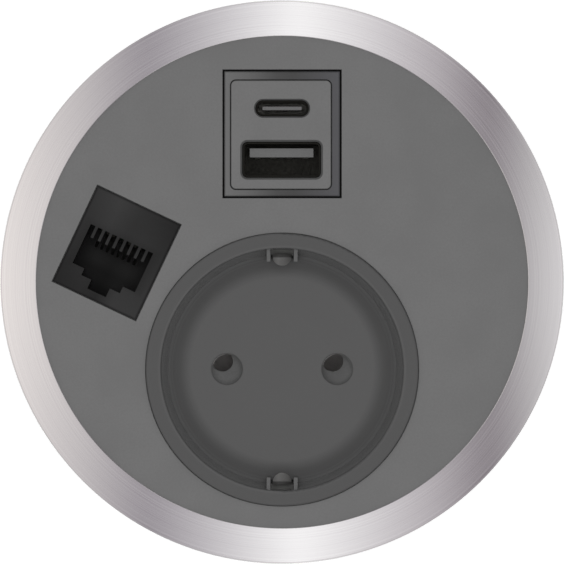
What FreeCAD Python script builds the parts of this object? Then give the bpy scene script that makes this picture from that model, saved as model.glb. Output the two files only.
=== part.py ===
import FreeCAD, Part
import math
import os
import types

import Sketcher

V = FreeCAD.Vector

# Driving dimensions, in millimetres and degrees. Z is 0 on the desk top and points up out of it,
# X is to the right and Y away from the user. A depth counts down from the desk top.
SIZES = {
    # Trim ring, face plate and the flange that both lie on
    "ring_outside": 4.75,
    "ring_inside": 1.33,
    "ring_proud": 0.6,
    "ring_round": 0.45,
    "ring_bevel": 0.2,
    "ring_skirt": 1.25,
    "ring_peg_r": 0.9,
    "plate_lip_wide": 4.1,
    "plate_lip_thick": 1.2,
    "plate_thick": 3.0,
    "flange_thick": 1.2,
    "hook_wide": 6.0,
    "hook_drop": 6.5,
    "hook_reach": 0.7,
    "hook_leg": 1.05,
    # Housing tube with its coarse thread
    "socket_edge": 0.9,
    "case_edge": 1.28,
    "row_gap": 7.96,
    "tube_wall": 1.8,
    "mouth_step": 1.5,
    "mouth_deep": 3.0,
    "neck_deep": 6.0,
    "tube_deep": 43.5,
    "thread_pitch": 4.0,
    "thread_tall": 1.3,
    "thread_from_end": 1.5,
    "thread_from_neck": 2.0,
    "ridge_base": 2.0,
    "ridge_tip": 1.0,
    "keyway_wide": 8.0,
    "key_slack": 0.3,
    "boss_r": 2.7,
    "boss_in": 2.3,
    "boss_high": 18.0,
    # Rear cover
    "cover_step": 0.4,
    "cover_thick": 2.5,
    "vent_long": 13.0,
    "vent_wide": 1.8,
    "vent_pitch": 3.6,
    "cover_tab_thick": 1.4,
    "cover_tab_wide": 5.4,
    "cover_screw_long": 13.0,
    # Clamp under the desk
    "clamp_inset": 0.75,
    "clamp_slack": 0.3,
    "washer_thick": 2.0,
    "pad_thick": 1.0,
    "pad_edge": 0.8,
    "nut_high": 12.0,
    "nut_wall": 3.6,
    "nut_up": 8.0,
    "nut_ridge_slack": 0.3,
    "nut_ridge_base": 2.5,
    "nut_ridge_tip": 1.5,
    "lobe_r": 4.2,
    "relief_wide": 4.0,
    # Earthed socket
    "cup_r": 22.2,
    "cup_lip": 1.17,
    "cup_proud": 0.6,
    "cup_rim_round": 0.35,
    "cup_wall": 1.4,
    "recess_taper": 1.1,
    "foot_round": 3.0,
    "recess_deep": 14.5,
    "cup_floor": 2.0,
    "pin_apart": 19.0,
    "pin_hole_r": 2.6,
    "guide_rib": 0.65,
    "guide_long": 2.3,
    "channel_wide": 4.0,
    "channel_sunk": 0.6,
    "cup_barb": 0.8,
    "barb_high": 2.1,
    "base_deep": 38.0,
    # Shutter behind the pin holes, which slides slantwise
    "shutter_slant": -60.4,
    "shutter_travel": 4.0,
    "shutter_thick": 3.6,
    "shutter_left": 16.0,
    "shutter_right": 14.0,
    "shutter_front": 5.6,
    "shutter_back": 8.4,
    "pocket_high": 4.0,
    "window_r": 2.7,
    "nose_r": 1.8,
    "nose_from_pin": 1.56,
    "ramp_deep": 2.7,
    "guide_post_r": 1.1,
    "guide_post_up": 4.4,
    "guide_post_down": 2.2,
    "ear_thick": 2.9,
    "ear_back": 4.35,
    "spring_long": 10.0,
    "spring_r": 1.45,
    "spring_wire_r": 0.2,
    "spring_turns": 9.0,
    # Live, neutral and earth contacts with their terminals
    "sleeve_r": 3.1,
    "sleeve_bore_r": 2.45,
    "sleeve_high": 12.5,
    "split_deep": 6.9,
    "strip_thick": 0.8,
    "tab_wide": 4.6,
    "tab_up": 4.4,
    "strap_drop": 0.8,
    "strap_room": 6.0,
    "terminal_out": 11.0,
    "terminal_shank_r": 1.4,
    "terminal_head_r": 2.4,
    "terminal_head_thick": 2.0,
    "slot_wide": 0.66,
    "base_screw_out": 5.3,
    "base_screw_y": 12.6,
    "base_boss_r": 2.1,
    "base_boss_high": 9.0,
    "clip_wide": 3.24,
    "clip_thick": 0.6,
    "clip_back_gap": 0.8,
    "clip_lean": 2.5,
    "clip_tip_deep": 7.0,
    "clip_lift": 1.7,
    "clip_end_deep": 3.5,
    "clip_bend_deep": 11.5,
    "clip_foot_deep": 18.0,
    # Charger block
    "charger_wide": 19.7,
    "charger_long": 21.34,
    "charger_frame_proud": 0.15,
    "charger_frame_thick": 1.95,
    "seal_wide": 0.32,
    "side_border": 1.29,
    "end_border": 1.39,
    "panel_left": 0.19,
    "panel_down": 0.15,
    "panel_corner": 0.85,
    "panel_proud": 0.3,
    "panel_flange": 1.2,
    "case_inset": 0.45,
    "case_high": 30.4,
    "case_wall": 1.0,
    "case_barb": 0.4,
    "usb_a_left": 0.09,
    "usb_a_down": 4.44,
    "usb_a_wide": 13.3,
    "usb_a_thick": 5.95,
    "flare_corner": 1.3,
    "shell_corner": 0.8,
    "usb_c_left": 0.0,
    "usb_c_up": 4.37,
    "usb_c_wide": 8.94,
    "usb_c_thick": 2.56,
    "shell_wall": 0.3,
    "shell_sink": 0.7,
    "tongue_a_wide": 10.9,
    "tongue_a_thick": 1.52,
    "tongue_a_up": 1.19,
    "tongue_c_wide": 6.69,
    "tongue_c_thick": 0.6,
    "board_thick": 1.6,
    "output_board_deep": 12.4,
    "power_board_deep": 28.2,
    "transformer_wide": 9.4,
    "transformer_edge": 0.8,
    "transformer_gap": 1.2,
    "transformer_high": 10.1,
    "core_long": 5.1,
    "core_limb": 1.55,
    "core_window_wide": 1.9,
    "core_window_out": 2.35,
    "winding_wide": 6.4,
    "capacitor_r": 2.7,
    "capacitor_high": 9.9,
    "capacitor_apart": 7.0,
    "capacitor_gap": 0.55,
    "link_pin_edge": 0.6,
    "link_pin_pitch": 2.04,
    # Data coupler, turned to the left edge of the plate
    "jack_in": 9.32,
    "jack_bearing": 170.04,
    "jack_turn": -25.3,
    "jack_wide": 15.95,
    "jack_long": 18.3,
    "jack_flange": 1.0,
    "jack_body_wide": 14.5,
    "jack_body_long": 17.2,
    "jack_body_cut": 2.4,
    "jack_body_deep": 20.0,
    "jack_end_in": 0.5,
    "port_left": 0.2,
    "port_wide": 11.8,
    "port_top": 2.6,
    "port_low": 4.75,
    "port_deep": 14.0,
    "latch_wide": 7.3,
    "latch_low": 6.0,
    "key_wide": 3.5,
    "key_low": 7.65,
    "comb_pitch": 1.36,
    "comb_rib": 0.5,
    "comb_long": 2.1,
    "comb_deep": 1.2,
    "jack_barb_wide": 4.0,
    "contact_pitch": 1.02,
    "contact_wide": 0.5,
    "contact_thick": 0.3,
    "contact_long": 8.0,
    "contact_drop": 3.1,
    # Mains inlet and the leads
    "inlet_in": 12.1,
    "inlet_bearing": 22.62,
    "inlet_body_wide": 19.4,
    "inlet_body_long": 12.4,
    "inlet_wide": 17.0,
    "inlet_long": 11.2,
    "inlet_corner": 1.0,
    "inlet_foot": 0.4,
    "inlet_high": 17.8,
    "inlet_roof": 3.0,
    "inlet_pin_r": 1.25,
    "inlet_pin_pitch": 5.6,
    "tail_high": 4.0,
    "tail_wide": 3.6,
    "tail_long": 4.8,
    "lead_r": 1.2,
    "lead_bend_r": 3.0,
    "lead_step": 3.0,
    "core_r": 0.7,
    "core_sunk": 1.0,
    "thin_lead_r": 0.75,
    "thin_bend_r": 1.5,
    "thin_lead_out": 5.0,
    "entry_down": 4.9,
    "entry_pitch": 4.1,
    "entry_rise": 4.0,
    # Screws and running clearances
    "screw_r": 1.25,
    "screw_head_r": 2.4,
    "screw_head_thick": 1.6,
    "drive_r": 0.6,
    "drive_deep": 0.8,
    "slip": 0.2,
    "gap": 0.1,
    "shaft_gap": 0.05,
    "bite": 0.3,
}

doc = FreeCAD.newDocument("power_socket_module")
sheet = doc.addObject("Spreadsheet::Sheet", "sizes")
for row, (alias, number) in enumerate(SIZES.items(), start=1):
    sheet.set("A%d" % row, alias)
    sheet.set("B%d" % row, str(number))
    sheet.setAlias("B%d" % row, alias)
doc.recompute()


class Size:
    """A size that keeps both its formula on the sheet and its present value."""

    def __init__(self, formula, value):
        self.formula = formula
        self.value = value

    def __add__(self, other):
        return Size("(%s + %s)" % (formula(self), formula(other)), value(self) + value(other))

    def __sub__(self, other):
        return Size("(%s - %s)" % (formula(self), formula(other)), value(self) - value(other))

    def __mul__(self, other):
        return Size("(%s * %s)" % (formula(self), formula(other)), value(self) * value(other))

    def __truediv__(self, other):
        return Size("(%s / %s)" % (formula(self), formula(other)), value(self) / value(other))

    def __radd__(self, other):
        return Size(formula(other), value(other)) + self

    def __rmul__(self, other):
        return Size(formula(other), value(other)) * self

    def __rsub__(self, other):
        return Size(formula(other), value(other)) - self

    def __neg__(self):
        return Size("(0 - %s)" % self.formula, -self.value)


def formula(size):
    return size.formula if isinstance(size, Size) else repr(size)


def value(size):
    return size.value if isinstance(size, Size) else size


def root(size):
    return Size("sqrt(%s)" % formula(size), math.sqrt(value(size)))


def cosine(angle):
    return Size("cos(%s * 1deg)" % formula(angle), math.cos(math.radians(value(angle))))


def sine(angle):
    return Size("sin(%s * 1deg)" % formula(angle), math.sin(math.radians(value(angle))))


s = types.SimpleNamespace(**{alias: Size("sizes." + alias, number) for alias, number in SIZES.items()})

# The bore is just wide enough for the socket and the charger's case in one row
s.case_wide = s.charger_wide - 2 * s.case_inset
s.case_long = s.charger_long - 2 * s.case_inset
row = 2 * s.cup_r + s.case_long + s.socket_edge + s.row_gap
s.bore_r = (row * row - s.case_edge * s.case_edge + s.case_wide * s.case_wide / 4) / (2 * (row - s.case_edge))
corner_r = s.bore_r - s.case_edge
s.socket_down = s.bore_r - s.socket_edge - s.cup_r
s.charger_up = root(corner_r * corner_r - s.case_wide * s.case_wide / 4) - s.case_long / 2

# Radii that follow from the bore, from the tube outwards
s.root_r = s.bore_r + s.tube_wall
s.neck_r = s.root_r + s.thread_tall
s.mouth_r = s.bore_r + s.mouth_step
s.plate_spigot_r = s.mouth_r - s.slip
s.plate_rim_r = s.plate_spigot_r + s.plate_lip_wide
s.ring_inner_r = s.plate_rim_r - s.ring_inside
s.ring_r = s.plate_rim_r + s.ring_outside
s.flange_r = s.ring_r - s.ring_skirt - s.slip
s.cover_r = s.root_r - s.cover_step
s.boss_place_r = s.bore_r - s.boss_in
s.clamp_bore_r = s.neck_r + s.clamp_slack
s.clamp_r = s.ring_r - s.clamp_inset
s.nut_tip_r = s.root_r + s.nut_ridge_slack

# Heights that follow from the plate, and depths that follow from the tube
s.plate_top = s.flange_thick + s.plate_lip_thick
s.ring_top = s.plate_top + s.ring_proud
s.cup_rim_top = s.plate_top + s.cup_proud
s.charger_frame_top = s.plate_top + s.charger_frame_proud
s.panel_top = s.plate_top + s.panel_proud
s.thread_start_deep = s.tube_deep - s.thread_from_end
s.jack_end_deep = s.tube_deep + s.cover_thick - s.jack_end_in
s.inlet_top_deep = s.tube_deep + s.cover_thick - s.slip - s.inlet_high
s.inlet_floor_deep = s.inlet_top_deep + s.inlet_roof
s.inlet_tail_deep = s.inlet_top_deep - s.tail_high

# Sizes of the socket and of the charger's front that follow from their outsides
s.cup_rim_r = s.cup_r + s.cup_lip
s.mouth_recess_r = s.cup_r - s.cup_wall
s.foot_recess_r = s.mouth_recess_r - s.recess_taper
s.guide_reach_r = s.mouth_recess_r - s.guide_long
s.channel_back_r = s.mouth_recess_r + s.channel_sunk
s.clip_leg_r = s.channel_back_r - s.clip_back_gap - s.clip_thick / 2
s.clip_tip_r = s.clip_leg_r - s.clip_lean
s.clip_end_r = s.clip_tip_r + s.clip_lift
s.base_screw_x = s.pin_apart / 2 + s.base_screw_out
s.panel_wide = s.charger_wide - 2 * s.side_border
s.panel_long = s.charger_long - 2 * s.end_border


def polar(radius, angle):
    return radius * cosine(angle), radius * sine(angle)


# Places of the groups on the plate: x, y and turn about Z
MODULE = (0, 0, 0)
SOCKET = (0, -s.socket_down, 0)
CHARGER = (0, s.charger_up, 0)
JACK = (*polar(s.bore_r - s.jack_in, s.jack_bearing), s.jack_turn)
INLET = (*polar(s.bore_r - s.inlet_in, s.inlet_bearing), 0)

QUARTERS = (0, 90, 180, 270)
SIDES = (-1, 1)
WAYS = range(8)

nodes = []


def bind(thing, name, size):
    thing.setExpression(name, formula(size))


def place_at(thing, x, y, z, turn=0):
    for axis, size in zip("xyz", (x, y, z)):
        bind(thing, "Placement.Base." + axis, size)
    bind(thing, "Placement.Rotation.Angle", Size(formula(turn) + " * 1deg", value(turn)))
    return thing


def node(solid, name, place=MODULE):
    """Name a finished piece and set it in its group's place."""
    x, y, turn = place
    place_at(solid, x, y, 0, turn)
    solid.Label = name
    nodes.append(solid)
    return solid


def block(x, y, z):
    """A box between three pairs of limits."""
    solid = doc.addObject("Part::Box", "block")
    for edge, axis, (low, high) in zip(("Length", "Width", "Height"), "xyz", (x, y, z)):
        bind(solid, edge, high - low)
        bind(solid, "Placement.Base." + axis, low)
    return solid


def middle_block(wide, long, z, x=0, y=0):
    return block((x - wide / 2, x + wide / 2), (y - long / 2, y + long / 2), z)


def rod(radius, z, x=0, y=0):
    """An upright cylinder between two heights."""
    solid = doc.addObject("Part::Cylinder", "rod")
    bind(solid, "Radius", radius)
    bind(solid, "Height", z[1] - z[0])
    return place_at(solid, x, y, z[0])


def level_rod(radius, long, start, heading):
    """A cylinder that lies along X, for a heading of 0, or along Y, for a heading of 90."""
    solid = doc.addObject("Part::Cylinder", "level_rod")
    tilt = FreeCAD.Rotation(V(0, 1, 0), 90)
    solid.Placement = FreeCAD.Placement(V(), FreeCAD.Rotation(V(0, 0, 1), heading).multiply(tilt))
    bind(solid, "Radius", radius)
    bind(solid, "Height", long)
    for axis, size in zip("xyz", start):
        bind(solid, "Placement.Base." + axis, size)
    return solid


def cone(low_r, high_r, z, x=0, y=0):
    solid = doc.addObject("Part::Cone", "cone")
    bind(solid, "Radius1", low_r)
    bind(solid, "Radius2", high_r)
    bind(solid, "Height", z[1] - z[0])
    return place_at(solid, x, y, z[0])


def fuse(*solids):
    if len(solids) == 1:
        return solids[0]
    whole = doc.addObject("Part::MultiFuse", "fuse")
    whole.Shapes = list(solids)
    return whole


def cut(base, *tools):
    rest = doc.addObject("Part::Cut", "cut")
    rest.Base = base
    rest.Tool = fuse(*tools)
    return rest


def common(one, other):
    shared = doc.addObject("Part::Common", "common")
    shared.Base = one
    shared.Tool = other
    return shared


def group(*solids):
    """Separate solids of one kind under one name."""
    whole = doc.addObject("Part::Compound", "group")
    whole.Links = list(solids)
    return whole


def turned_about_axis(solid, angle):
    """A solid carried round the Z axis of its group by an angle."""
    carried = group(solid)
    return place_at(carried, 0, 0, 0, angle)


def plane_of(body, role):
    return [feature for feature in body.Origin.OriginFeatures if feature.Role == role][0]


def vector(point):
    return V(value(point[0]), value(point[1]), 0)


def towards(start, end):
    """The direction, along x or along y, that mostly leads from one point to another."""
    way = vector(end) - vector(start)
    if abs(way.x) > abs(way.y):
        return math.copysign(1, way.x), 0
    return 0, math.copysign(1, way.y)


def moved(point, direction, distance):
    x, y = point[:2]
    return (x + distance * direction[0] if direction[0] else x,
            y + distance * direction[1] if direction[1] else y)


def hold(sketch, geometry, end, point):
    """Pin an end of a line or arc to its two sizes."""
    for kind, axis, size in (("DistanceX", -2, point[0]), ("DistanceY", -1, point[1])):
        if not isinstance(size, Size):
            sketch.addConstraint(Sketcher.Constraint("PointOnObject", geometry, end, axis))
            continue
        number = sketch.addConstraint(Sketcher.Constraint(kind, -1, 1, geometry, end, size.value))
        sketch.setExpression("Constraints[%d]" % number, size.formula)


def sides_of(outline):
    """Start of each side of an outline, with corner, radius and left turn where the side is a round."""
    sides = []
    for index, corner in enumerate(outline):
        if len(corner) == 2:
            sides.append((corner, None))
            continue
        before = towards(corner, outline[index - 1])
        after = towards(corner, outline[(index + 1) % len(outline)])
        left_turn = before[1] * after[0] - before[0] * after[1] > 0
        sides.append((moved(corner, before, corner[2]), (vector(corner), corner[2], left_turn)))
        sides.append((moved(corner, after, corner[2]), None))
    return sides


def draw(sketch, outline):
    """Draw a closed outline of straight sides; a third number at a corner rounds it."""
    sides = sides_of(outline)
    drawn = []
    for index, (start, rounding) in enumerate(sides):
        first = vector(start)
        last = vector(sides[(index + 1) % len(sides)][0])
        stops = (1, 2)
        if rounding is None:
            number = sketch.addGeometry(Part.LineSegment(first, last), False)
        else:
            corner, radius, left_turn = rounding
            centre = first + last - corner
            middle = centre + (corner - centre).normalize() * value(radius)
            arc = Part.Arc(first, middle, last) if left_turn else Part.Arc(last, middle, first)
            stops = (1, 2) if left_turn else (2, 1)
            number = sketch.addGeometry(arc, False)
            limit = sketch.addConstraint(Sketcher.Constraint("Radius", number, value(radius)))
            sketch.setExpression("Constraints[%d]" % limit, formula(radius))
        hold(sketch, number, stops[0], start)
        drawn.append((number, stops))
    for index, (number, stops) in enumerate(drawn):
        after, after_stops = drawn[(index + 1) % len(drawn)]
        sketch.addConstraint(Sketcher.Constraint("Coincident", number, stops[1], after, after_stops[0]))


def sketch_on(body, role, outlines):
    sketch = body.newObject("Sketcher::SketchObject", "outline")
    sketch.AttachmentSupport = [(plane_of(body, role), "")]
    sketch.MapMode = "FlatFace"
    for outline in outlines:
        draw(sketch, outline)
    return sketch


def turned(*outlines):
    """A body of revolution about Z from outlines of radius and height."""
    body = doc.addObject("PartDesign::Body", "turned")
    sketch = sketch_on(body, "XZ_Plane", outlines)
    lathe = body.newObject("PartDesign::Revolution", "lathe")
    lathe.Profile = (sketch, [""])
    lathe.ReferenceAxis = (sketch, ["V_Axis"])
    lathe.Angle = 360
    return body


def wound_ridge(outline, pitch, climb):
    """A right-hand thread ridge of the given section, wound about Z."""
    body = doc.addObject("PartDesign::Body", "thread")
    sketch = sketch_on(body, "XZ_Plane", [outline])
    ridge = body.newObject("PartDesign::AdditiveHelix", "ridge")
    ridge.Profile = (sketch, [""])
    ridge.ReferenceAxis = (sketch, ["V_Axis"])
    ridge.Mode = 0
    ridge.Pitch = value(pitch)
    ridge.Height = value(climb)
    bind(ridge, "Pitch", pitch)
    bind(ridge, "Height", climb)
    return body


def slab(z, *outlines):
    """A flat piece between two heights; outlines inside the first are openings."""
    body = doc.addObject("PartDesign::Body", "slab")
    sketch = sketch_on(body, "XY_Plane", outlines)
    bind(sketch, "AttachmentOffset.Base.z", z[0])
    pad = body.newObject("PartDesign::Pad", "pad")
    pad.Profile = sketch
    pad.Length = value(z[1] - z[0])
    bind(pad, "Length", z[1] - z[0])
    return body


def ease_top(body, kind, name, size):
    """Chamfer or round the edges of a slab's upper face."""
    pad = body.Tip
    doc.recompute()
    top = pad.Shape.BoundBox.ZMax
    edges = ["Edge%d" % number for number, edge in enumerate(pad.Shape.Edges, start=1)
             if edge.BoundBox.ZMin > top - value(size) / 2]
    easing = body.newObject("PartDesign::" + kind, "easing")
    easing.Base = (pad, edges)
    bind(easing, name, size)


def rectangle(wide, long, x=0, y=0, radius=None):
    left = x - wide / 2
    right = x + wide / 2
    low = y - long / 2
    high = y + long / 2
    rounding = () if radius is None else (radius,)
    corners = [(left, low), (right, low), (right, high), (left, high)]
    return [corner + rounding for corner in corners]


def made(shape):
    """A solid whose shape comes from its own points."""
    feature = doc.addObject("Part::Feature", "made")
    feature.Shape = shape
    return feature


def tube(points, radius, bend):
    """A round wire along straight runs, with a tangent arc of the bend radius at each turn."""
    edges = []
    start = points[0]
    for before, corner, after in zip(points, points[1:], points[2:]):
        back = (before - corner).normalize()
        ahead = (after - corner).normalize()
        half = (math.pi - back.getAngle(ahead)) / 2
        reach = bend * math.tan(half)
        middle_way = (back + ahead).normalize()
        entry = corner + back * reach
        leaving = corner + ahead * reach
        middle = corner + middle_way * (bend / math.cos(half) - bend)
        edges.append(Part.LineSegment(start, entry).toShape())
        edges.append(Part.Arc(entry, middle, leaving).toShape())
        start = leaving
    edges.append(Part.LineSegment(start, points[-1]).toShape())
    path = Part.Wire(edges)
    ring = Part.Wire([Part.Circle(points[0], points[1] - points[0], radius).toShape()])
    return path.makePipeShell([ring], True, False)


def bent_strip(points, thick, x):
    """A strip of even thickness bent along points of y and z, between two places along X."""
    left = []
    right = []
    for index, (y, z) in enumerate(points):
        here = V(0, y, z)
        before = V(0, *points[index - 1]) if index else None
        after = V(0, *points[index + 1]) if index + 1 < len(points) else None
        ways = [(here - before).normalize()] if before else []
        ways += [(after - here).normalize()] if after else []
        normals = [V(0, -way.z, way.y) for way in ways]
        mitre = (normals[0] + normals[-1]).normalize()
        mitre = mitre * (thick / 2 / mitre.dot(normals[0]))
        left.append(here + mitre + V(x[0], 0, 0))
        right.append(here - mitre + V(x[0], 0, 0))
    loop = left + right[::-1]
    face = Part.Face(Part.makePolygon(loop + loop[:1]))
    return face.extrude(V(x[1] - x[0], 0, 0))


# The trim ring is pressed onto four pegs in the flange and holds the rim of the face plate down.
peg_circle_r = (s.plate_rim_r + s.ring_r - s.ring_skirt) / 2


def pegs(radius, z):
    return [rod(radius, z, *polar(peg_circle_r, angle)) for angle in QUARTERS]


def bezel_ring():
    seat_r = s.plate_rim_r + s.slip
    skirt_r = s.ring_r - s.ring_skirt
    ring = turned([
        (s.ring_inner_r, s.plate_top),
        (seat_r, s.plate_top),
        (seat_r, s.flange_thick),
        (skirt_r, s.flange_thick),
        (skirt_r, 0),
        (s.ring_r, 0),
        (s.ring_r, s.ring_top, s.ring_round),
        (s.ring_inner_r + s.ring_bevel, s.ring_top),
        (s.ring_inner_r, s.ring_top - s.ring_bevel),
    ])
    node(fuse(ring, *pegs(s.ring_peg_r, (s.slip, s.flange_thick + s.bite))), "bezel_ring")


# Four snap hooks hold the face plate in windows of the housing tube.
HOOK_ANGLES = (40, 130, 220, 320)
hook_out_r = s.bore_r - s.slip
plate_under = s.plate_top - s.plate_thick
socket_hole_r = s.cup_r + s.slip * 2
window_wide = s.case_wide + s.slip
window_long = s.case_long + s.slip
frame_low = s.charger_frame_top - s.charger_frame_thick
jack_flange_low = s.plate_top - s.jack_flange


def snap_hook(angle):
    leg = block((hook_out_r - s.hook_leg, hook_out_r), (-s.hook_wide / 2, s.hook_wide / 2),
                (-s.hook_drop, plate_under + s.bite))
    barb = block((hook_out_r - s.bite, hook_out_r + s.hook_reach), (-s.hook_wide / 2, s.hook_wide / 2),
                 (-s.hook_drop, -s.hook_drop + 2 * s.hook_reach))
    return turned_about_axis(fuse(leg, barb), angle)


def in_place(solid, place):
    """A tool of one group's own frame, carried to the module's frame."""
    x, y, turn = place
    return place_at(group(solid), x, y, 0, turn)


def face_plate():
    disc = turned([
        (0, plate_under),
        (s.plate_spigot_r, plate_under),
        (s.plate_spigot_r, s.flange_thick),
        (s.plate_rim_r, s.flange_thick),
        (s.plate_rim_r, s.plate_top),
        (0, s.plate_top),
    ])
    whole = fuse(disc, *[snap_hook(angle) for angle in HOOK_ANGLES])
    through = (plate_under - s.hook_drop, s.plate_top + s.flange_thick)
    above = s.plate_top + s.flange_thick
    socket_hole = rod(socket_hole_r, through, 0, -s.socket_down)
    rim_seat = rod(s.cup_rim_r + s.gap, (s.flange_thick, above), 0, -s.socket_down)
    seal_wide = s.charger_wide + 2 * s.seal_wide + s.gap
    seal_long = s.charger_long + 2 * s.seal_wide + s.gap
    charger_seat = middle_block(seal_wide, seal_long, (frame_low, above), 0, s.charger_up)
    charger_hole = middle_block(window_wide, window_long, through, 0, s.charger_up)
    jack_seat = middle_block(s.jack_wide + s.gap, s.jack_long + s.gap, (jack_flange_low, above))
    jack_hole = middle_block(s.jack_body_wide + s.slip, s.jack_body_long + s.slip, through)
    node(cut(whole, socket_hole, rim_seat, charger_seat, charger_hole,
             in_place(jack_seat, JACK), in_place(jack_hole, JACK)), "face_plate")


# The housing is one moulding: flange, threaded tube, four keyways and four screw bosses.
BOSS_ANGLES = (45, 135, 225, 315)


def main_housing():
    tube_wall = turned([
        (s.bore_r, -s.tube_deep),
        (s.root_r, -s.tube_deep),
        (s.root_r, -s.neck_deep),
        (s.neck_r, -s.neck_deep),
        (s.neck_r, 0),
        (s.flange_r, 0),
        (s.flange_r, s.flange_thick),
        (s.mouth_r, s.flange_thick),
        (s.mouth_r, -s.mouth_deep),
        (s.bore_r, -s.mouth_deep),
    ])
    start = -s.thread_start_deep
    ridge = wound_ridge([
        (s.root_r - s.bite, start - s.ridge_base / 2),
        (s.neck_r, start - s.ridge_tip / 2),
        (s.neck_r, start + s.ridge_tip / 2),
        (s.root_r - s.bite, start + s.ridge_base / 2),
    ], s.thread_pitch, s.thread_start_deep - s.neck_deep - s.thread_from_neck)
    keyways = []
    windows = []
    for angle in QUARTERS:
        key = block((s.bore_r, s.neck_r + s.ridge_base), (-s.keyway_wide / 2, s.keyway_wide / 2),
                    (-s.tube_deep - s.ridge_base, -s.neck_deep + s.bite))
        keyways.append(turned_about_axis(key, angle))
    half_window = s.hook_wide / 2 + s.slip
    for angle in HOOK_ANGLES:
        window = block((s.bore_r - s.bite, s.neck_r + s.bite), (-half_window, half_window),
                       (-s.hook_drop - s.slip, -s.hook_drop + 2 * s.hook_reach + s.slip))
        windows.append(turned_about_axis(window, angle))
    bosses = []
    pilots = []
    pilot_z = (-s.tube_deep - s.slip, s.boss_high - s.tube_deep - 2 * s.slip)
    for angle in BOSS_ANGLES:
        at = polar(s.boss_place_r, angle)
        bosses.append(rod(s.boss_r, (-s.tube_deep, s.boss_high - s.tube_deep), *at))
        pilots.append(rod(s.screw_r + s.shaft_gap, pilot_z, *at))
    peg_holes = pegs(s.ring_peg_r + s.shaft_gap, (-s.slip, s.ring_top))
    shell = cut(fuse(tube_wall, *bosses), *windows, *peg_holes, *pilots)
    node(fuse(shell, cut(ridge, *keyways)), "main_housing")


# The rear cover closes the tube and lets the mains inlet and the rear data port through.
module_under = -s.tube_deep - s.cover_thick
TAB_ANGLES = (-20, 100, 200, 270)


def jack_section(grow):
    """Section of the data coupler's body: a rectangle with its two lower corners cut off."""
    half_wide = s.jack_body_wide / 2 + grow
    half_long = s.jack_body_long / 2 + grow
    step = s.jack_body_cut
    return [(-half_wide + step, -half_long), (half_wide - step, -half_long), (half_wide, -half_long + step),
            (half_wide, half_long), (-half_wide, half_long), (-half_wide, -half_long + step)]


def rear_cover():
    disc = turned([
        (0, module_under),
        (s.cover_r, module_under),
        (s.cover_r, -s.tube_deep),
        (0, -s.tube_deep),
    ])
    tabs = []
    for angle in TAB_ANGLES:
        tab = block((s.bore_r - s.slip - s.cover_tab_thick, s.bore_r - s.slip),
                    (-s.cover_tab_wide / 2, s.cover_tab_wide / 2),
                    (-s.tube_deep - s.bite, s.cover_thick - s.tube_deep))
        tabs.append(turned_about_axis(tab, angle))
    through = (module_under - s.slip, s.slip - s.tube_deep)
    sink = (module_under - s.slip, module_under + s.screw_head_thick + s.slip)
    holes = [
        in_place(slab(through, jack_section(s.slip)), JACK),
        middle_block(s.inlet_body_wide + s.slip, s.inlet_body_long + s.slip, through, *INLET[:2]),
    ]
    for angle in BOSS_ANGLES:
        at = polar(s.boss_place_r, angle)
        holes.append(rod(s.screw_r + s.gap, through, *at))
        holes.append(rod(s.screw_head_r + s.gap, sink, *at))
    for step in (-2, -1, 0, 1, 2):
        holes.append(middle_block(s.vent_wide, s.vent_long, through, step * s.vent_pitch, s.charger_up))
    node(cut(fuse(disc, *tabs), *holes), "rear_cover")


def cover_screw(angle):
    at = polar(s.boss_place_r, angle)
    head_low = module_under + s.slip
    head = rod(s.screw_head_r, (head_low, head_low + s.screw_head_thick), *at)
    shank = rod(s.screw_r, (head_low, head_low + s.cover_screw_long), *at)
    drive = rod(s.drive_r, (head_low - s.slip, head_low + s.drive_deep), *at)
    return cut(fuse(head, shank), drive)


def cover_screws():
    node(group(*[cover_screw(angle) for angle in BOSS_ANGLES]), "cover_screws")


# Under the desk a nut climbs the thread and pushes a keyed washer with a rubber pad upwards.
nut_under = s.nut_up - s.thread_start_deep
nut_top = nut_under + s.nut_high
washer_top = nut_top + s.washer_thick
pad_top = washer_top + s.pad_thick
LOBES = 8


def clamp_washer():
    ring = turned([
        (s.clamp_bore_r, nut_top),
        (s.clamp_r, nut_top),
        (s.clamp_r, washer_top),
        (s.clamp_bore_r, washer_top),
    ])
    tab_half = s.keyway_wide / 2 - s.key_slack
    tabs = []
    for angle in QUARTERS:
        tab = block((s.root_r + s.slip + s.shaft_gap, s.clamp_bore_r + s.bite), (-tab_half, tab_half),
                    (nut_top, washer_top))
        tabs.append(turned_about_axis(tab, angle))
    node(fuse(ring, *tabs), "clamp_washer")


def clamp_pad():
    node(turned([
        (s.clamp_bore_r + s.pad_edge, washer_top),
        (s.clamp_r - s.pad_edge, washer_top),
        (s.clamp_r - s.pad_edge, pad_top),
        (s.clamp_bore_r + s.pad_edge, pad_top),
    ]), "clamp_pad")


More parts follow.
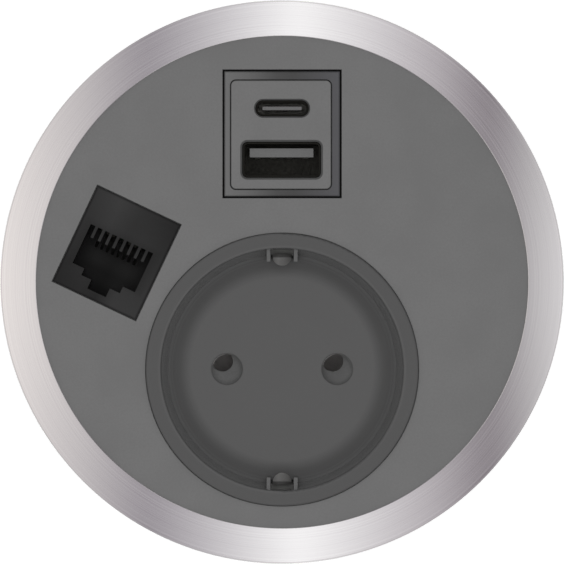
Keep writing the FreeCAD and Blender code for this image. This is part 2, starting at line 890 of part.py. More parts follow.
def locking_nut():
    ring = rod(s.clamp_bore_r + s.nut_wall, (nut_under, nut_top))
    start = nut_under + s.thread_pitch / 2
    ridge = wound_ridge([
        (s.clamp_bore_r + s.bite, start - s.nut_ridge_base / 2),
        (s.clamp_bore_r + s.bite, start + s.nut_ridge_base / 2),
        (s.nut_tip_r, start + s.nut_ridge_tip / 2),
        (s.nut_tip_r, start - s.nut_ridge_tip / 2),
    ], s.thread_pitch, s.nut_high - s.thread_pitch)
    lobes = []
    for number in range(LOBES):
        at = polar(s.clamp_r - s.lobe_r, number * 360 / LOBES + 180 / LOBES)
        lobes.append(rod(s.lobe_r, (nut_under, nut_top), *at))
    bore = rod(s.clamp_bore_r, (nut_under - s.slip, nut_top + s.slip))
    reliefs = []
    for angle in QUARTERS:
        relief = block((s.root_r, s.clamp_bore_r + 2 * s.bite), (-s.relief_wide / 2, s.relief_wide / 2),
                       (nut_under - s.slip, nut_top + s.slip))
        reliefs.append(turned_about_axis(relief, angle))
    node(fuse(cut(fuse(ring, *lobes), bore), cut(ridge, *reliefs)), "locking_nut")


# The earthed socket: a round cup with a snap-in rim, on a base that holds the contacts.
floor_top = -s.recess_deep
floor_under = floor_top - s.cup_floor
clip_back_r = s.clip_leg_r + s.clip_thick / 2


def guide_ribs(side):
    """The two ribs beside an earth clip, from the wall of the recess inwards."""
    ribs = []
    inner = s.channel_wide / 2
    for across in SIDES:
        x = (inner, inner + s.guide_rib) if across > 0 else (-inner - s.guide_rib, -inner)
        y = (s.guide_reach_r, s.channel_back_r) if side > 0 else (-s.channel_back_r, -s.guide_reach_r)
        ribs.append(block(x, y, (floor_top - s.bite, s.cup_rim_top / 2)))
    return ribs


def base_screw_places():
    return [(side * s.base_screw_x, side * s.base_screw_y) for side in SIDES]


def socket_cup():
    cup = turned([
        (0, floor_under),
        (s.cup_r, floor_under),
        (s.cup_r, s.flange_thick),
        (s.cup_rim_r, s.flange_thick),
        (s.cup_rim_r, s.cup_rim_top, s.cup_rim_round),
        (s.mouth_recess_r, s.cup_rim_top, s.cup_rim_round),
        (s.foot_recess_r, floor_top, s.foot_round),
        (0, floor_top),
    ])
    ribs = [rib for side in SIDES for rib in guide_ribs(side)]
    barbs = []
    for angle in QUARTERS:
        barb = block((s.cup_r - s.bite, s.cup_r + s.cup_barb), (-s.hook_wide / 2, s.hook_wide / 2),
                     (plate_under - s.barb_high, plate_under - s.shaft_gap))
        barbs.append(turned_about_axis(barb, angle + 45))
    bosses = [rod(s.base_boss_r, (floor_under - s.base_boss_high, floor_under + s.bite), *at)
              for at in base_screw_places()]
    posts = [rod(s.guide_post_r, (floor_under - s.shutter_thick, floor_under + s.bite), *at)
             for at in guide_post_places()]
    tools = []
    for side in SIDES:
        hole_x = side * s.pin_apart / 2
        tools.append(rod(s.pin_hole_r, (floor_under - s.slip, floor_top + s.slip), hole_x))
        tools.append(cone(s.pin_hole_r, s.pin_hole_r + s.slip, (floor_top - s.slip, floor_top), hole_x))
        y = (s.foot_recess_r - s.guide_rib, s.channel_back_r)
        y = y if side > 0 else (-y[1], -y[0])
        tools.append(block((-s.channel_wide / 2, s.channel_wide / 2), y, (floor_under - s.slip, -s.bite)))
    pilot_z = (floor_under - s.base_boss_high - s.slip, floor_under)
    for at in base_screw_places():
        tools.append(rod(s.screw_r + s.shaft_gap, pilot_z, *at))
    node(cut(fuse(cup, *ribs, *barbs, *bosses, *posts), *tools), "socket_cup", SOCKET)


# The shutter lies under the floor and slides slantwise when two pins press on its ramps together.
slide_x = cosine(s.shutter_slant)
slide_y = sine(s.shutter_slant)
shutter_top = floor_under - (s.pocket_high - s.shutter_thick) / 2
shutter_low = shutter_top - s.shutter_thick
pocket_low = floor_under - s.pocket_high
ear_x = s.shutter_right - s.spring_r
ear_y = s.shutter_back / 2


def along_slide(x, y, distance):
    return x + slide_x * distance, y + slide_y * distance


def guide_post_places():
    return [(-s.guide_post_r, s.guide_post_up), (-s.guide_post_r, -s.guide_post_down)]


def slanted(solid, x, y):
    """A solid whose own x axis is laid along the slide from the given place."""
    return place_at(group(solid), x, y, 0, s.shutter_slant)


def shutter():
    own_z = (shutter_low, shutter_top)
    through = (shutter_low - s.slip, shutter_top + s.slip)
    plate = block((-s.shutter_left, s.shutter_right), (-s.shutter_front, s.shutter_back), own_z)
    ear = slanted(block((-s.ear_thick, 0), (-s.spring_r, s.ear_back), own_z), ear_x, ear_y)
    tools = []
    for side in SIDES:
        hole_x = side * s.pin_apart / 2
        nose = along_slide(hole_x, 0, -s.nose_from_pin)
        wide = along_slide(hole_x, 0, -s.shutter_travel)
        tools.append(rod(s.nose_r, through, *nose))
        tools.append(rod(s.window_r, through, *wide))
        tools.append(cone(s.nose_r, s.nose_r + s.ramp_deep, (shutter_top - s.ramp_deep, shutter_top), *nose))
    slot_r = s.guide_post_r + s.slip
    for x, y in guide_post_places():
        slot = fuse(rod(slot_r, through), rod(slot_r, through, -s.shutter_travel),
                    block((-s.shutter_travel, 0), (-slot_r, slot_r), through))
        tools.append(slanted(slot, x, y))
    spring_room = block((0, s.spring_long), (-s.spring_r - s.slip, s.spring_r + s.slip), through)
    tools.append(slanted(spring_room, ear_x, ear_y))
    node(cut(fuse(plate, ear), *tools), "shutter", SOCKET)


def shutter_spring():
    pitch = (value(s.spring_long) - 2 * value(s.spring_wire_r)) / value(s.spring_turns)
    helix = Part.makeHelix(pitch, pitch * value(s.spring_turns), value(s.spring_r) - value(s.spring_wire_r))
    start = V(value(s.spring_r) - value(s.spring_wire_r), 0, 0)
    ring = Part.Wire([Part.Circle(start, V(0, 1, 0), value(s.spring_wire_r)).toShape()])
    coil = Part.Wire(helix.Edges).makePipeShell([ring], True, True)
    coil.rotate(V(), V(0, 1, 0), 90)
    coil.translate(V(value(s.spring_wire_r), 0, value(shutter_low + s.shutter_thick / 2)))
    node(group(slanted(made(coil), ear_x, ear_y)), "shutter_spring", SOCKET)


def contact_base():
    body = rod(s.cup_r, (-s.base_deep, floor_under))
    pocket_x = (-s.shutter_left - s.slip, s.shutter_right + slide_x * s.shutter_travel + s.slip)
    pocket_y = (-s.shutter_front + slide_y * s.shutter_travel - s.slip, s.shutter_back + s.slip)
    pocket_z = (pocket_low, floor_under + s.slip)
    spring_pocket = block((-s.ear_thick - s.slip, s.spring_long + s.shaft_gap),
                          (-s.spring_r - s.slip, s.ear_back + s.slip), pocket_z)
    tools = [block(pocket_x, pocket_y, pocket_z), slanted(spring_pocket, ear_x, ear_y)]
    half_tab = s.tab_wide / 2 + s.slip
    across = (-half_tab, half_tab)
    for side in SIDES:
        x = side * s.pin_apart / 2
        tools.append(rod(s.sleeve_r + s.slip, (sleeve_low, pocket_low + s.slip), x))
        tools.append(block((x - half_tab, x + half_tab), (0, tab_end), (sleeve_low, pocket_low + s.slip)))
        tools += terminal_tools(x, s.terminal_out, pin_tab_low)
        y = (clip_back_r - s.clip_thick - s.slip, s.channel_back_r)
        y = y if side > 0 else (-y[1], -y[0])
        tools.append(block(across, y, (strap_low - s.slip, pocket_z[1])))
    tools.append(block(across, (-s.channel_back_r, s.channel_back_r), (strap_low, pocket_low + s.slip)))
    tools.append(block(across, (s.terminal_out / 2, tab_end), (strap_low - s.strap_room, strap_low)))
    tools += terminal_tools(0, s.terminal_out, strap_low)
    below = -s.base_deep - s.slip
    for at in base_screw_places():
        boss_z = (floor_under - s.base_boss_high - s.slip, floor_under + s.slip)
        tools.append(rod(s.base_boss_r + s.slip, boss_z, *at))
        tools.append(rod(s.screw_r + s.gap, (below, floor_under), *at))
        tools.append(rod(s.screw_head_r + s.gap, (below, s.screw_head_thick + s.slip - s.base_deep), *at))
    node(cut(body, *tools), "contact_base", SOCKET)


# Contacts and terminals: a screw comes up from below through each tab and clamps a wire under it.
sleeve_top = pocket_low - s.slip
sleeve_low = sleeve_top - s.sleeve_high
pin_tab_low = sleeve_low + s.tab_up
strap_low = pocket_low - s.strap_drop - s.strip_thick
tab_end = s.terminal_out + s.terminal_head_r + s.slip
wire_drop = s.lead_r + 2 * s.slip


def terminal_tools(x, y, tab_low):
    """Access for the screwdriver from below and the way in for the wire."""
    return [
        rod(s.terminal_head_r + s.slip, (-s.base_deep - s.slip, tab_low), x, y),
        level_rod(s.lead_r + s.slip, s.cup_r - y + s.slip, (x, y, tab_low - wire_drop), 90),
    ]


def terminal_screw(x, y, tab_low):
    head_top = tab_low - wire_drop - s.core_r - s.gap
    head_low = head_top - s.terminal_head_thick
    shank = rod(s.terminal_shank_r, (head_top - s.bite, tab_low + s.strip_thick + s.slip), x, y)
    head = rod(s.terminal_head_r, (head_low, head_top), x, y)
    slot = block((x - s.terminal_head_r, x + s.terminal_head_r), (y - s.slot_wide / 2, y + s.slot_wide / 2),
                 (head_low - s.slip, head_low + s.drive_deep))
    return cut(fuse(head, shank), slot)


def pin_contact(side, name):
    x = side * s.pin_apart / 2
    sleeve = rod(s.sleeve_r, (sleeve_low, sleeve_top), x)
    tab = block((x - s.tab_wide / 2, x + s.tab_wide / 2), (s.sleeve_bore_r + s.bite, tab_end - s.slip),
                (pin_tab_low, pin_tab_low + s.strip_thick))
    split = s.strip_thick / 2
    split_z = (sleeve_top - s.split_deep, sleeve_top + s.slip)
    reach = s.sleeve_r + s.slip
    tools = [
        rod(s.sleeve_bore_r, (sleeve_low + s.strip_thick, sleeve_top + s.slip), x),
        block((x - reach, x + reach), (-split, split), split_z),
        block((x - split, x + split), (-reach, reach), split_z),
        rod(s.terminal_shank_r + s.shaft_gap, (pin_tab_low - s.slip, pin_tab_low + s.strip_thick + s.slip),
            x, s.terminal_out),
    ]
    node(cut(fuse(sleeve, tab), *tools), name, SOCKET)


def earth_strap():
    half = s.tab_wide / 2
    bridge = block((-half, half), (-clip_back_r, clip_back_r), (strap_low, strap_low + s.strip_thick))
    ends = []
    for side in SIDES:
        y = (clip_back_r - s.clip_thick, clip_back_r)
        y = y if side > 0 else (-y[1], -y[0])
        ends.append(block((-half, half), y, (strap_low, -s.clip_foot_deep)))
    hole = rod(s.terminal_shank_r + s.shaft_gap, (strap_low - s.slip, strap_low + s.strip_thick + s.slip),
               0, s.terminal_out)
    node(cut(fuse(bridge, *ends), hole), "earth_strap", SOCKET)


def earth_clip(side, name):
    """A sprung brass clip that leans into the recess; its tip is round in plan."""
    leg = value(s.clip_leg_r)
    tip = value(s.clip_tip_r) + value(s.clip_thick) / 2
    points = [
        (leg, -value(s.clip_foot_deep)),
        (leg, -value(s.clip_bend_deep)),
        (tip, -value(s.clip_tip_deep) - value(s.clip_thick)),
        (tip, -value(s.clip_tip_deep) + value(s.clip_thick)),
        (value(s.clip_end_r), -value(s.clip_end_deep)),
    ]
    half = value(s.clip_wide) / 2
    strip = made(bent_strip(points, value(s.clip_thick), (-half, half)))
    round_y = s.clip_tip_r + s.clip_wide / 2
    z = (-s.clip_foot_deep - s.slip, 0)
    nose = fuse(rod(s.clip_wide / 2, z, 0, round_y),
                block((-s.clip_wide / 2, s.clip_wide / 2), (round_y, s.cup_r), z))
    clip = common(strip, nose)
    if side > 0:
        node(clip, name, SOCKET)
    else:
        node(group(place_at(group(clip), 0, 0, 0, 180)), name, SOCKET)


def terminal_screws():
    node(group(
        terminal_screw(-s.pin_apart / 2, s.terminal_out, pin_tab_low),
        terminal_screw(s.pin_apart / 2, s.terminal_out, pin_tab_low),
        terminal_screw(0, s.terminal_out, strap_low),
    ), "terminal_screws", SOCKET)


def base_screw(x, y):
    head_low = s.slip - s.base_deep
    head = rod(s.screw_head_r, (head_low, head_low + s.screw_head_thick), x, y)
    shank = rod(s.screw_r, (head_low, floor_under - s.slip), x, y)
    drive = rod(s.drive_r, (head_low - s.slip, head_low + s.drive_deep), x, y)
    return cut(fuse(head, shank), drive)


def base_screws():
    node(group(*[base_screw(x, y) for x, y in base_screw_places()]), "base_screws", SOCKET)


# The charger block: a bevelled frame in a black seal, a raised front panel and a hanging case.
case_top = frame_low - s.panel_flange
case_low = case_top - s.case_high
panel_x = -s.panel_left
panel_y = -s.panel_down
usb_a_x = -s.usb_a_left
usb_a_y = -s.usb_a_down
usb_c_x = -s.usb_c_left
usb_c_y = s.usb_c_up
shell_top = s.panel_top - s.shell_sink
board_top = -s.output_board_deep
power_top = -s.power_board_deep


def charger_seal():
    wide = s.charger_wide + 2 * s.seal_wide
    long = s.charger_long + 2 * s.seal_wide
    z = (frame_low, s.plate_top - s.bite)
    outer = middle_block(wide, long, z)
    through = (z[0] - s.slip, z[1] + s.slip)
    inner = middle_block(s.charger_wide + s.shaft_gap, s.charger_long + s.shaft_gap, through)
    node(cut(outer, inner), "charger_seal", CHARGER)


def charger_frame():
    body = slab((frame_low, s.charger_frame_top), rectangle(s.charger_wide, s.charger_long))
    ease_top(body, "Chamfer", "Size", s.slip)
    opening = slab((frame_low - s.slip, s.charger_frame_top + s.slip),
                   rectangle(s.panel_wide + 2 * s.slip, s.panel_long + 2 * s.slip, panel_x, panel_y,
                             s.panel_corner + s.slip))
    node(cut(body, opening), "charger_frame", CHARGER)


def usb_a_outline(grow, radius):
    return rectangle(s.usb_a_wide + 2 * grow, s.usb_a_thick + 2 * grow, usb_a_x, usb_a_y, radius)


def usb_c_outline(grow):
    """A slot with ends that are all but half circles."""
    long = s.usb_c_thick + 2 * grow
    return rectangle(s.usb_c_wide + 2 * grow, long, usb_c_x, usb_c_y, long / 2 - s.shaft_gap)


def flare(low_outline, high_outline, low, high):
    """A ruled funnel between two outlines."""
    body = doc.addObject("PartDesign::Body", "flare")
    first = sketch_on(body, "XY_Plane", [low_outline])
    bind(first, "AttachmentOffset.Base.z", low)
    last = sketch_on(body, "XY_Plane", [high_outline])
    bind(last, "AttachmentOffset.Base.z", high)
    loft = body.newObject("PartDesign::AdditiveLoft", "loft")
    loft.Profile = first
    loft.Sections = [last]
    loft.Ruled = True
    return body


def charger_front_panel():
    raised = slab((frame_low - s.bite, s.panel_top),
                  rectangle(s.panel_wide, s.panel_long, panel_x, panel_y, s.panel_corner))
    ease_top(raised, "Fillet", "Radius", s.slip)
    flange = middle_block(s.case_wide, s.case_long, (case_top, frame_low))
    through = (case_top - s.slip, s.panel_top + s.slip)
    top = s.panel_top + s.gap
    edge = s.shell_wall + s.gap
    bore_corner = s.shell_corner + s.gap
    tools = [
        slab(through, usb_a_outline(s.gap, bore_corner)),
        flare(usb_a_outline(s.gap, bore_corner), usb_a_outline(edge + s.gap, s.flare_corner), shell_top, top),
        slab(through, usb_c_outline(s.gap)),
        flare(usb_c_outline(s.gap), usb_c_outline(edge), shell_top, top),
    ]
    node(cut(fuse(raised, flange), *tools), "charger_front_panel", CHARGER)


def charger_case():
    wide = s.case_wide
    long = s.case_long
    wall = s.case_wall
    outer = middle_block(wide, long, (case_low, case_top))
    inner = middle_block(wide - 2 * wall, long - 2 * wall, (case_low + wall, case_top + wall))
    barbs = []
    for side in SIDES:
        x = (wide / 2 - s.bite, wide / 2 + s.case_barb)
        x = x if side > 0 else (-x[1], -x[0])
        barbs.append(block(x, (-s.hook_wide / 2, s.hook_wide / 2),
                           (plate_under - s.barb_high, plate_under - s.gap)))
    shelves = []
    for side in SIDES:
        y = (long / 2 - 2 * wall, long / 2 - s.bite)
        y = y if side > 0 else (-y[1], -y[0])
        for top in (board_top - s.board_thick, power_top - s.board_thick):
            shelves.append(block((-s.hook_wide / 2, s.hook_wide / 2), y, (top - wall, top)))
    entries = [level_rod(s.thin_lead_r + s.slip, wall * 3, (wide / 2 - 2 * wall, y - s.charger_up, z), 0)
               for y, z in thin_lead_entries()]
    node(cut(fuse(cut(outer, inner), *barbs, *shelves), *entries), "charger_case", CHARGER)


def port_shell(outline, name):
    """A plated steel shell that stands on the board and ends just under the front of the panel."""
    outer = slab((board_top, shell_top), outline(0))
    inner = slab((board_top + s.shell_wall, shell_top + s.slip), outline(-s.shell_wall))
    node(cut(outer, inner), name, CHARGER)


def usb_a_shell():
    port_shell(lambda grow: usb_a_outline(grow, s.shell_corner + grow), "usb_a_shell")


def usb_c_shell():
    port_shell(usb_c_outline, "usb_c_shell")


def port_foot():
    return board_top + s.shell_wall


def usb_a_tongue():
    z = (port_foot(), shell_top - 2 * s.shell_sink)
    node(group(middle_block(s.tongue_a_wide, s.tongue_a_thick, z, usb_a_x, usb_a_y + s.tongue_a_up)),
         "usb_a_tongue", CHARGER)


def usb_a_contacts():
    """Four sprung strips on the lower face of the tongue."""
    strips = []
    face = usb_a_y + s.tongue_a_up - s.tongue_a_thick / 2
    for step in (-1.5, -0.5, 0.5, 1.5):
        x = usb_a_x + step * s.tongue_a_wide / 4
        strips.append(block((x - s.contact_wide, x + s.contact_wide), (face - s.contact_thick, face),
                            (port_foot(), shell_top - 3 * s.shell_sink)))
    node(group(*strips), "usb_a_contacts", CHARGER)


def usb_c_tongue():
    z = (port_foot(), shell_top - s.shell_sink)
    tongue = middle_block(s.tongue_c_wide, s.tongue_c_thick, z, usb_c_x, usb_c_y)
    node(group(tongue), "usb_c_tongue", CHARGER)


def usb_c_contacts():
    """Twelve narrow strips on each face of the tongue."""
    strips = []
    pitch = s.tongue_c_wide / 13
    z = (port_foot(), shell_top - 2 * s.shell_sink)
    for side in SIDES:
        y = (s.tongue_c_thick / 2, s.tongue_c_thick / 2 + s.gap)
        y = (usb_c_y + y[0], usb_c_y + y[1]) if side > 0 else (usb_c_y - y[1], usb_c_y - y[0])
        for step in range(12):
            x = usb_c_x + (step - 5.5) * pitch
            strips.append(block((x - pitch / 4, x + pitch / 4), y, z))
    node(group(*strips), "usb_c_contacts", CHARGER)


def board_size():
    return s.case_wide - 2 * s.case_wall - 2 * s.slip, s.case_long - 2 * s.case_wall - 2 * s.slip


def circuit_board(top, name):
    wide, long = board_size()
    node(group(middle_block(wide, long, (top - s.board_thick, top))), name, CHARGER)


link_pin_y = s.case_long / 2 - 2 * s.case_wall - s.link_pin_edge
capacitor_y = link_pin_y - s.contact_wide / 2 - s.capacitor_gap - s.capacitor_r
transformer_high_y = capacitor_y - s.capacitor_r - s.transformer_gap
transformer_low_y = s.transformer_edge + s.case_wall - s.case_long / 2
transformer_long = transformer_high_y - transformer_low_y
transformer_y = (transformer_high_y + transformer_low_y) / 2
core_low = power_top + s.slip
core_top = core_low + s.transformer_high
window_low = core_low + s.core_limb
window_high = core_top - s.core_limb


def transformer_core():
    """Two ferrite E halves around the winding."""
    outer = middle_block(s.transformer_wide, s.core_long, (core_low, core_top), 0, transformer_y)
    windows = [middle_block(s.core_window_wide, transformer_long, (window_low, window_high),
                            side * s.core_window_out, transformer_y) for side in SIDES]
    node(cut(outer, *windows), "transformer_core", CHARGER)


def transformer_winding():
    """The taped winding on its bobbin, round the middle leg of the core."""
    z = (window_low + s.slip, window_high - s.slip)
    outer = middle_block(s.winding_wide, transformer_long, z, 0, transformer_y)
    leg_wide = 2 * s.core_window_out - s.core_window_wide + s.gap
    leg = middle_block(leg_wide, s.core_long + s.gap, (z[0] - s.bite, z[1] + s.bite), 0, transformer_y)
    node(cut(outer, leg), "transformer_winding", CHARGER)


def filter_capacitors():
    z = (core_low, core_low + s.capacitor_high)
    cans = [rod(s.capacitor_r, z, side * s.capacitor_apart / 2, capacitor_y) for side in SIDES]
    node(group(*cans), "filter_capacitors", CHARGER)


def board_link_pins():
    """Pins that carry the output from the power board up to the output board."""
    pins = []
    for step in (-1.5, -0.5, 0.5, 1.5):
        pins.append(middle_block(s.contact_wide, s.contact_wide, (power_top, board_top - s.board_thick),
                                 step * s.link_pin_pitch, link_pin_y))
    node(group(*pins), "board_link_pins", CHARGER)


# The data coupler: a front port, sprung contacts, a small board and the same port again at the back.
rear_top = -s.jack_body_deep - s.board_thick
port_x = -s.port_left


def port_outline():
    half = s.port_wide / 2
    latch = s.latch_wide / 2
    key = s.key_wide / 2
    return [
        (port_x - key, -s.key_low), (port_x + key, -s.key_low),
        (port_x + key, -s.latch_low), (port_x + latch, -s.latch_low),
        (port_x + latch, -s.port_low), (port_x + half, -s.port_low),
        (port_x + half, s.port_top), (port_x - half, s.port_top),
        (port_x - half, -s.port_low), (port_x - latch, -s.port_low),
        (port_x - latch, -s.latch_low), (port_x - key, -s.latch_low),
    ]


def way_places(pitch):
    """Places along the port of its eight ways."""
    return [port_x + (way - (len(WAYS) - 1) / 2) * pitch for way in WAYS]


def comb(low, high):
    """Eight short ribs along the top of the port, between which the contacts lie."""
    ribs = []
    y = (s.port_top - s.comb_long, s.port_top + s.bite)
    for x in way_places(s.comb_pitch):
        ribs.append(block((x - s.comb_rib / 2, x + s.comb_rib / 2), y, (low, high)))
    return ribs


rail_y = s.port_top + 2 * s.contact_thick
contact_front = s.comb_deep + s.contact_thick
contact_root = s.comb_deep * 2


def rail_channel(low, high):
    half = (len(WAYS) + 1) / 2 * s.contact_pitch
    y = (s.port_top - s.contact_thick, rail_y + s.contact_thick + s.slip)
    return block((port_x - half, port_x + half), y, (low, high))


def jack_housing():
    flange = slab((jack_flange_low, s.plate_top), rectangle(s.jack_wide - s.slip, s.jack_long - s.slip))
    body = slab((-s.jack_body_deep, jack_flange_low + s.bite), jack_section(0))
    barbs = []
    for side in SIDES:
        y = (s.jack_body_long / 2 - s.bite, s.jack_body_long / 2 + s.case_barb)
        y = y if side > 0 else (-y[1], -y[0])
        barbs.append(block((-s.jack_barb_wide / 2, s.jack_barb_wide / 2), y,
                           (plate_under - s.barb_high, plate_under - s.gap)))
    cavity = slab((s.plate_top - s.port_deep, s.plate_top + s.slip), port_outline())
    channel = rail_channel(-s.jack_body_deep - s.slip, s.plate_top - s.comb_deep)
    ribs = comb(s.plate_top - s.comb_deep, s.plate_top)
    node(fuse(cut(fuse(flange, body, *barbs), cavity, channel), *ribs), "jack_housing", JACK)


def jack_rear_housing():
    low = -s.jack_end_deep
    body = slab((low, rear_top), jack_section(0))
    cavity = slab((low - s.slip, low + s.port_deep), port_outline())
    channel = rail_channel(low + s.comb_deep, rear_top + s.slip)
    node(fuse(cut(body, cavity, channel), *comb(low, low + s.comb_deep)), "jack_rear_housing", JACK)


def jack_board():
    node(slab((rear_top, -s.jack_body_deep), jack_section(-s.gap)), "jack_board", JACK)


def rail_wires(near, far):
    """Eight fixed strips along the top of the port, from the board to the bend of the contacts."""
    wires = []
    y = (rail_y - s.contact_thick / 2, rail_y + s.contact_thick / 2)
    for x in way_places(s.contact_pitch):
        wires.append(block((x - s.contact_wide / 2, x + s.contact_wide / 2), y, (near, far)))
    return wires


def jack_contact_rails():
    node(group(*rail_wires(-s.jack_body_deep, s.plate_top - contact_root)),
         "jack_contact_rails", JACK)


def jack_rear_contact_rails():
    node(group(*rail_wires(contact_root - s.jack_end_deep, rear_top)),
         "jack_rear_contact_rails", JACK)


def contact_springs(mouth_z, inwards):
    """Eight strips bent over near the mouth, from which they lean down into the port."""
    front = mouth_z + inwards * value(contact_front)
    root = mouth_z + inwards * value(contact_root - s.shaft_gap)
    hang = value(s.port_top - s.contact_thick)
    low = value(s.port_top - s.contact_drop)
    thick = value(s.contact_thick)
    far = front + inwards * value(s.contact_long)
    rail = value(rail_y)
    points = [(rail, root), (rail, front), (hang, front), (low, far), (low + thick, far + inwards)]
    half = value(s.contact_wide) / 2
    wires = []
    for place in way_places(s.contact_pitch):
        x = value(place)
        wires.append(made(bent_strip(points, thick, (x - half, x + half))))
    return group(*wires)


def jack_contact_springs():
    node(contact_springs(value(s.plate_top), -1), "jack_contact_springs", JACK)


def jack_rear_contact_springs():
    node(contact_springs(-value(s.jack_end_deep), 1), "jack_rear_contact_springs", JACK)


# The mains inlet stands on the rear cover; insulated leads run from its tails to the terminals.
def inlet_housing():
    body = middle_block(s.inlet_body_wide, s.inlet_body_long, (module_under + s.slip, -s.inlet_top_deep))
    mouth = rectangle(s.inlet_wide, s.inlet_long, 0, 0, s.inlet_corner)
    cavity = slab((module_under, -s.inlet_floor_deep), mouth)
    foot = middle_block(s.inlet_body_wide, s.inlet_body_long + 2 * s.inlet_foot,
                        (-s.tube_deep, s.cover_thick - s.tube_deep))
    holes = [rod(s.inlet_pin_r + s.shaft_gap, (-s.inlet_floor_deep - s.slip, s.slip - s.inlet_top_deep), x)
             for x in inlet_pin_places()]
    node(cut(fuse(body, foot), cavity, *holes), "inlet_housing", INLET)


def inlet_pin_places():
    return [step * s.inlet_pin_pitch for step in (-1, 0, 1)]


def inlet_pins():
    pins = []
    half = s.tail_wide / 2
    for x in inlet_pin_places():
        pin = rod(s.inlet_pin_r, (-s.tube_deep, -s.inlet_top_deep + s.bite), x)
        tail = block((x - half, x + half), (-half, s.tail_long), (-s.inlet_top_deep, -s.inlet_tail_deep))
        pins.append(fuse(pin, tail))
    node(group(*pins), "inlet_pins", INLET)


def thin_lead_entries():
    """Places, as y and z, where the two thin leads go into the charger's case."""
    return [(s.charger_up - s.entry_down + number * s.entry_pitch,
             (number + 1) * s.entry_rise - s.inlet_tail_deep) for number in (0, 1)]


def lead_route(pin_step, end_x, high, end_z):
    start_x = value(INLET[0] + pin_step * s.inlet_pin_pitch)
    y = value(INLET[1])
    end_y = value(tab_end + s.gap - s.socket_down)
    return [
        V(start_x, y, -value(s.inlet_tail_deep)),
        V(start_x, y, -high),
        V(end_x, y, -high),
        V(end_x, y, end_z),
        V(end_x, end_y, end_z),
    ]


def lead(name, pin_step, end_x, high, tab_low):
    wire_z = value(tab_low - wire_drop)
    points = lead_route(pin_step, end_x, high, wire_z)
    jacket = tube(points, value(s.lead_r), value(s.lead_bend_r))
    core_end = V(end_x, value(s.terminal_out + s.terminal_shank_r + s.gap - s.socket_down), wire_z)
    core_start = points[-1] + V(0, value(s.core_sunk), 0)
    core = Part.makeCylinder(value(s.core_r), core_start.distanceToPoint(core_end), core_start, V(0, -1, 0))
    node(made(jacket.fuse(core)), name)


def leads():
    high = value(s.inlet_tail_deep)
    step = value(s.lead_step)
    lead("neutral_lead", -1, value(s.pin_apart) / 2, high - 2 * step, pin_tab_low)
    lead("earth_lead", 0, 0, high - 3 * step, strap_low)
    lead("live_lead", 1, -value(s.pin_apart) / 2, high - 4 * step, pin_tab_low)


def charger_leads():
    """Two thin leads from the outer tails of the inlet into the side of the charger's case."""
    wires = []
    tail_y = value(INLET[1] + s.tail_wide)
    side_x = value(s.case_wide / 2 + s.thin_lead_out)
    for pin_step, (y, z) in zip((-1, 1), thin_lead_entries()):
        x = value(INLET[0] + pin_step * s.inlet_pin_pitch)
        points = [
            V(x, tail_y, -value(s.inlet_tail_deep)),
            V(x, tail_y, value(z)),
            V(side_x, value(y), value(z)),
            V(value(s.case_wide / 2 - 2 * s.case_wall), value(y), value(z)),
        ]
        wires.append(made(tube(points, value(s.thin_lead_r), value(s.thin_bend_r))))
    node(group(*wires), "charger_leads")


bezel_ring()
face_plate()
main_housing()
rear_cover()
cover_screws()
clamp_washer()
clamp_pad()
locking_nut()

socket_cup()
shutter()
shutter_spring()
contact_base()
pin_contact(-1, "live_contact")
pin_contact(1, "neutral_contact")
earth_strap()
earth_clip(1, "earth_clip_upper")
earth_clip(-1, "earth_clip_lower")
terminal_screws()
base_screws()

charger_frame()
charger_seal()
charger_front_panel()
charger_case()
usb_a_shell()
usb_a_tongue()
usb_a_contacts()
usb_c_shell()
usb_c_tongue()
usb_c_contacts()
circuit_board(board_top, "charger_output_board")
circuit_board(power_top, "charger_power_board")
transformer_core()
transformer_winding()
filter_capacitors()
board_link_pins()

jack_housing()
jack_contact_rails()
jack_contact_springs()
jack_board()
jack_rear_housing()
jack_rear_contact_rails()
jack_rear_contact_springs()

inlet_housing()
inlet_pins()
leads()
charger_leads()

doc.recompute()
faults = [thing.Name for thing in doc.Objects if "Invalid" in thing.State or "Error" in thing.State]
faults += [solid.Label for solid in nodes if solid.Shape.isNull() or not solid.Shape.isValid()]
if faults:
    raise SystemExit("These did not build: " + ", ".join(faults))
os.makedirs("parts", exist_ok=True)
for solid in nodes:
    solid.Shape.exportStep("parts/%s.step" % solid.Label)
    print(solid.Label, len(solid.Shape.Solids), "solids", round(solid.Shape.Volume / 1000, 3), "cm3")
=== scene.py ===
import math
import bpy
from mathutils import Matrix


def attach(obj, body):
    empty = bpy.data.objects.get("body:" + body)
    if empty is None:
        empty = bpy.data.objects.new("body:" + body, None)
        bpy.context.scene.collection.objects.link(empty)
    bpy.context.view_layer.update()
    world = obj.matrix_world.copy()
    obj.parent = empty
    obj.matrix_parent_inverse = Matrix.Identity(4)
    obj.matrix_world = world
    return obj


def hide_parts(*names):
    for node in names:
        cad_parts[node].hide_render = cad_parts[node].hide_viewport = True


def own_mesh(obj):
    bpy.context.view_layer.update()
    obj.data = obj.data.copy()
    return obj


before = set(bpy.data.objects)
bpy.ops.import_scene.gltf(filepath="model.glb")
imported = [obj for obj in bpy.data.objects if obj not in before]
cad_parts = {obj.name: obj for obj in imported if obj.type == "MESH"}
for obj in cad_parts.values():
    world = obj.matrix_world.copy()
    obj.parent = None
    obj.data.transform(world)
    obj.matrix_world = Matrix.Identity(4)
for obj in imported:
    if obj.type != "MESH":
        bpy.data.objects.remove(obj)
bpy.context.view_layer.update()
scene = bpy.context.scene
scene.view_settings.view_transform = "Standard"

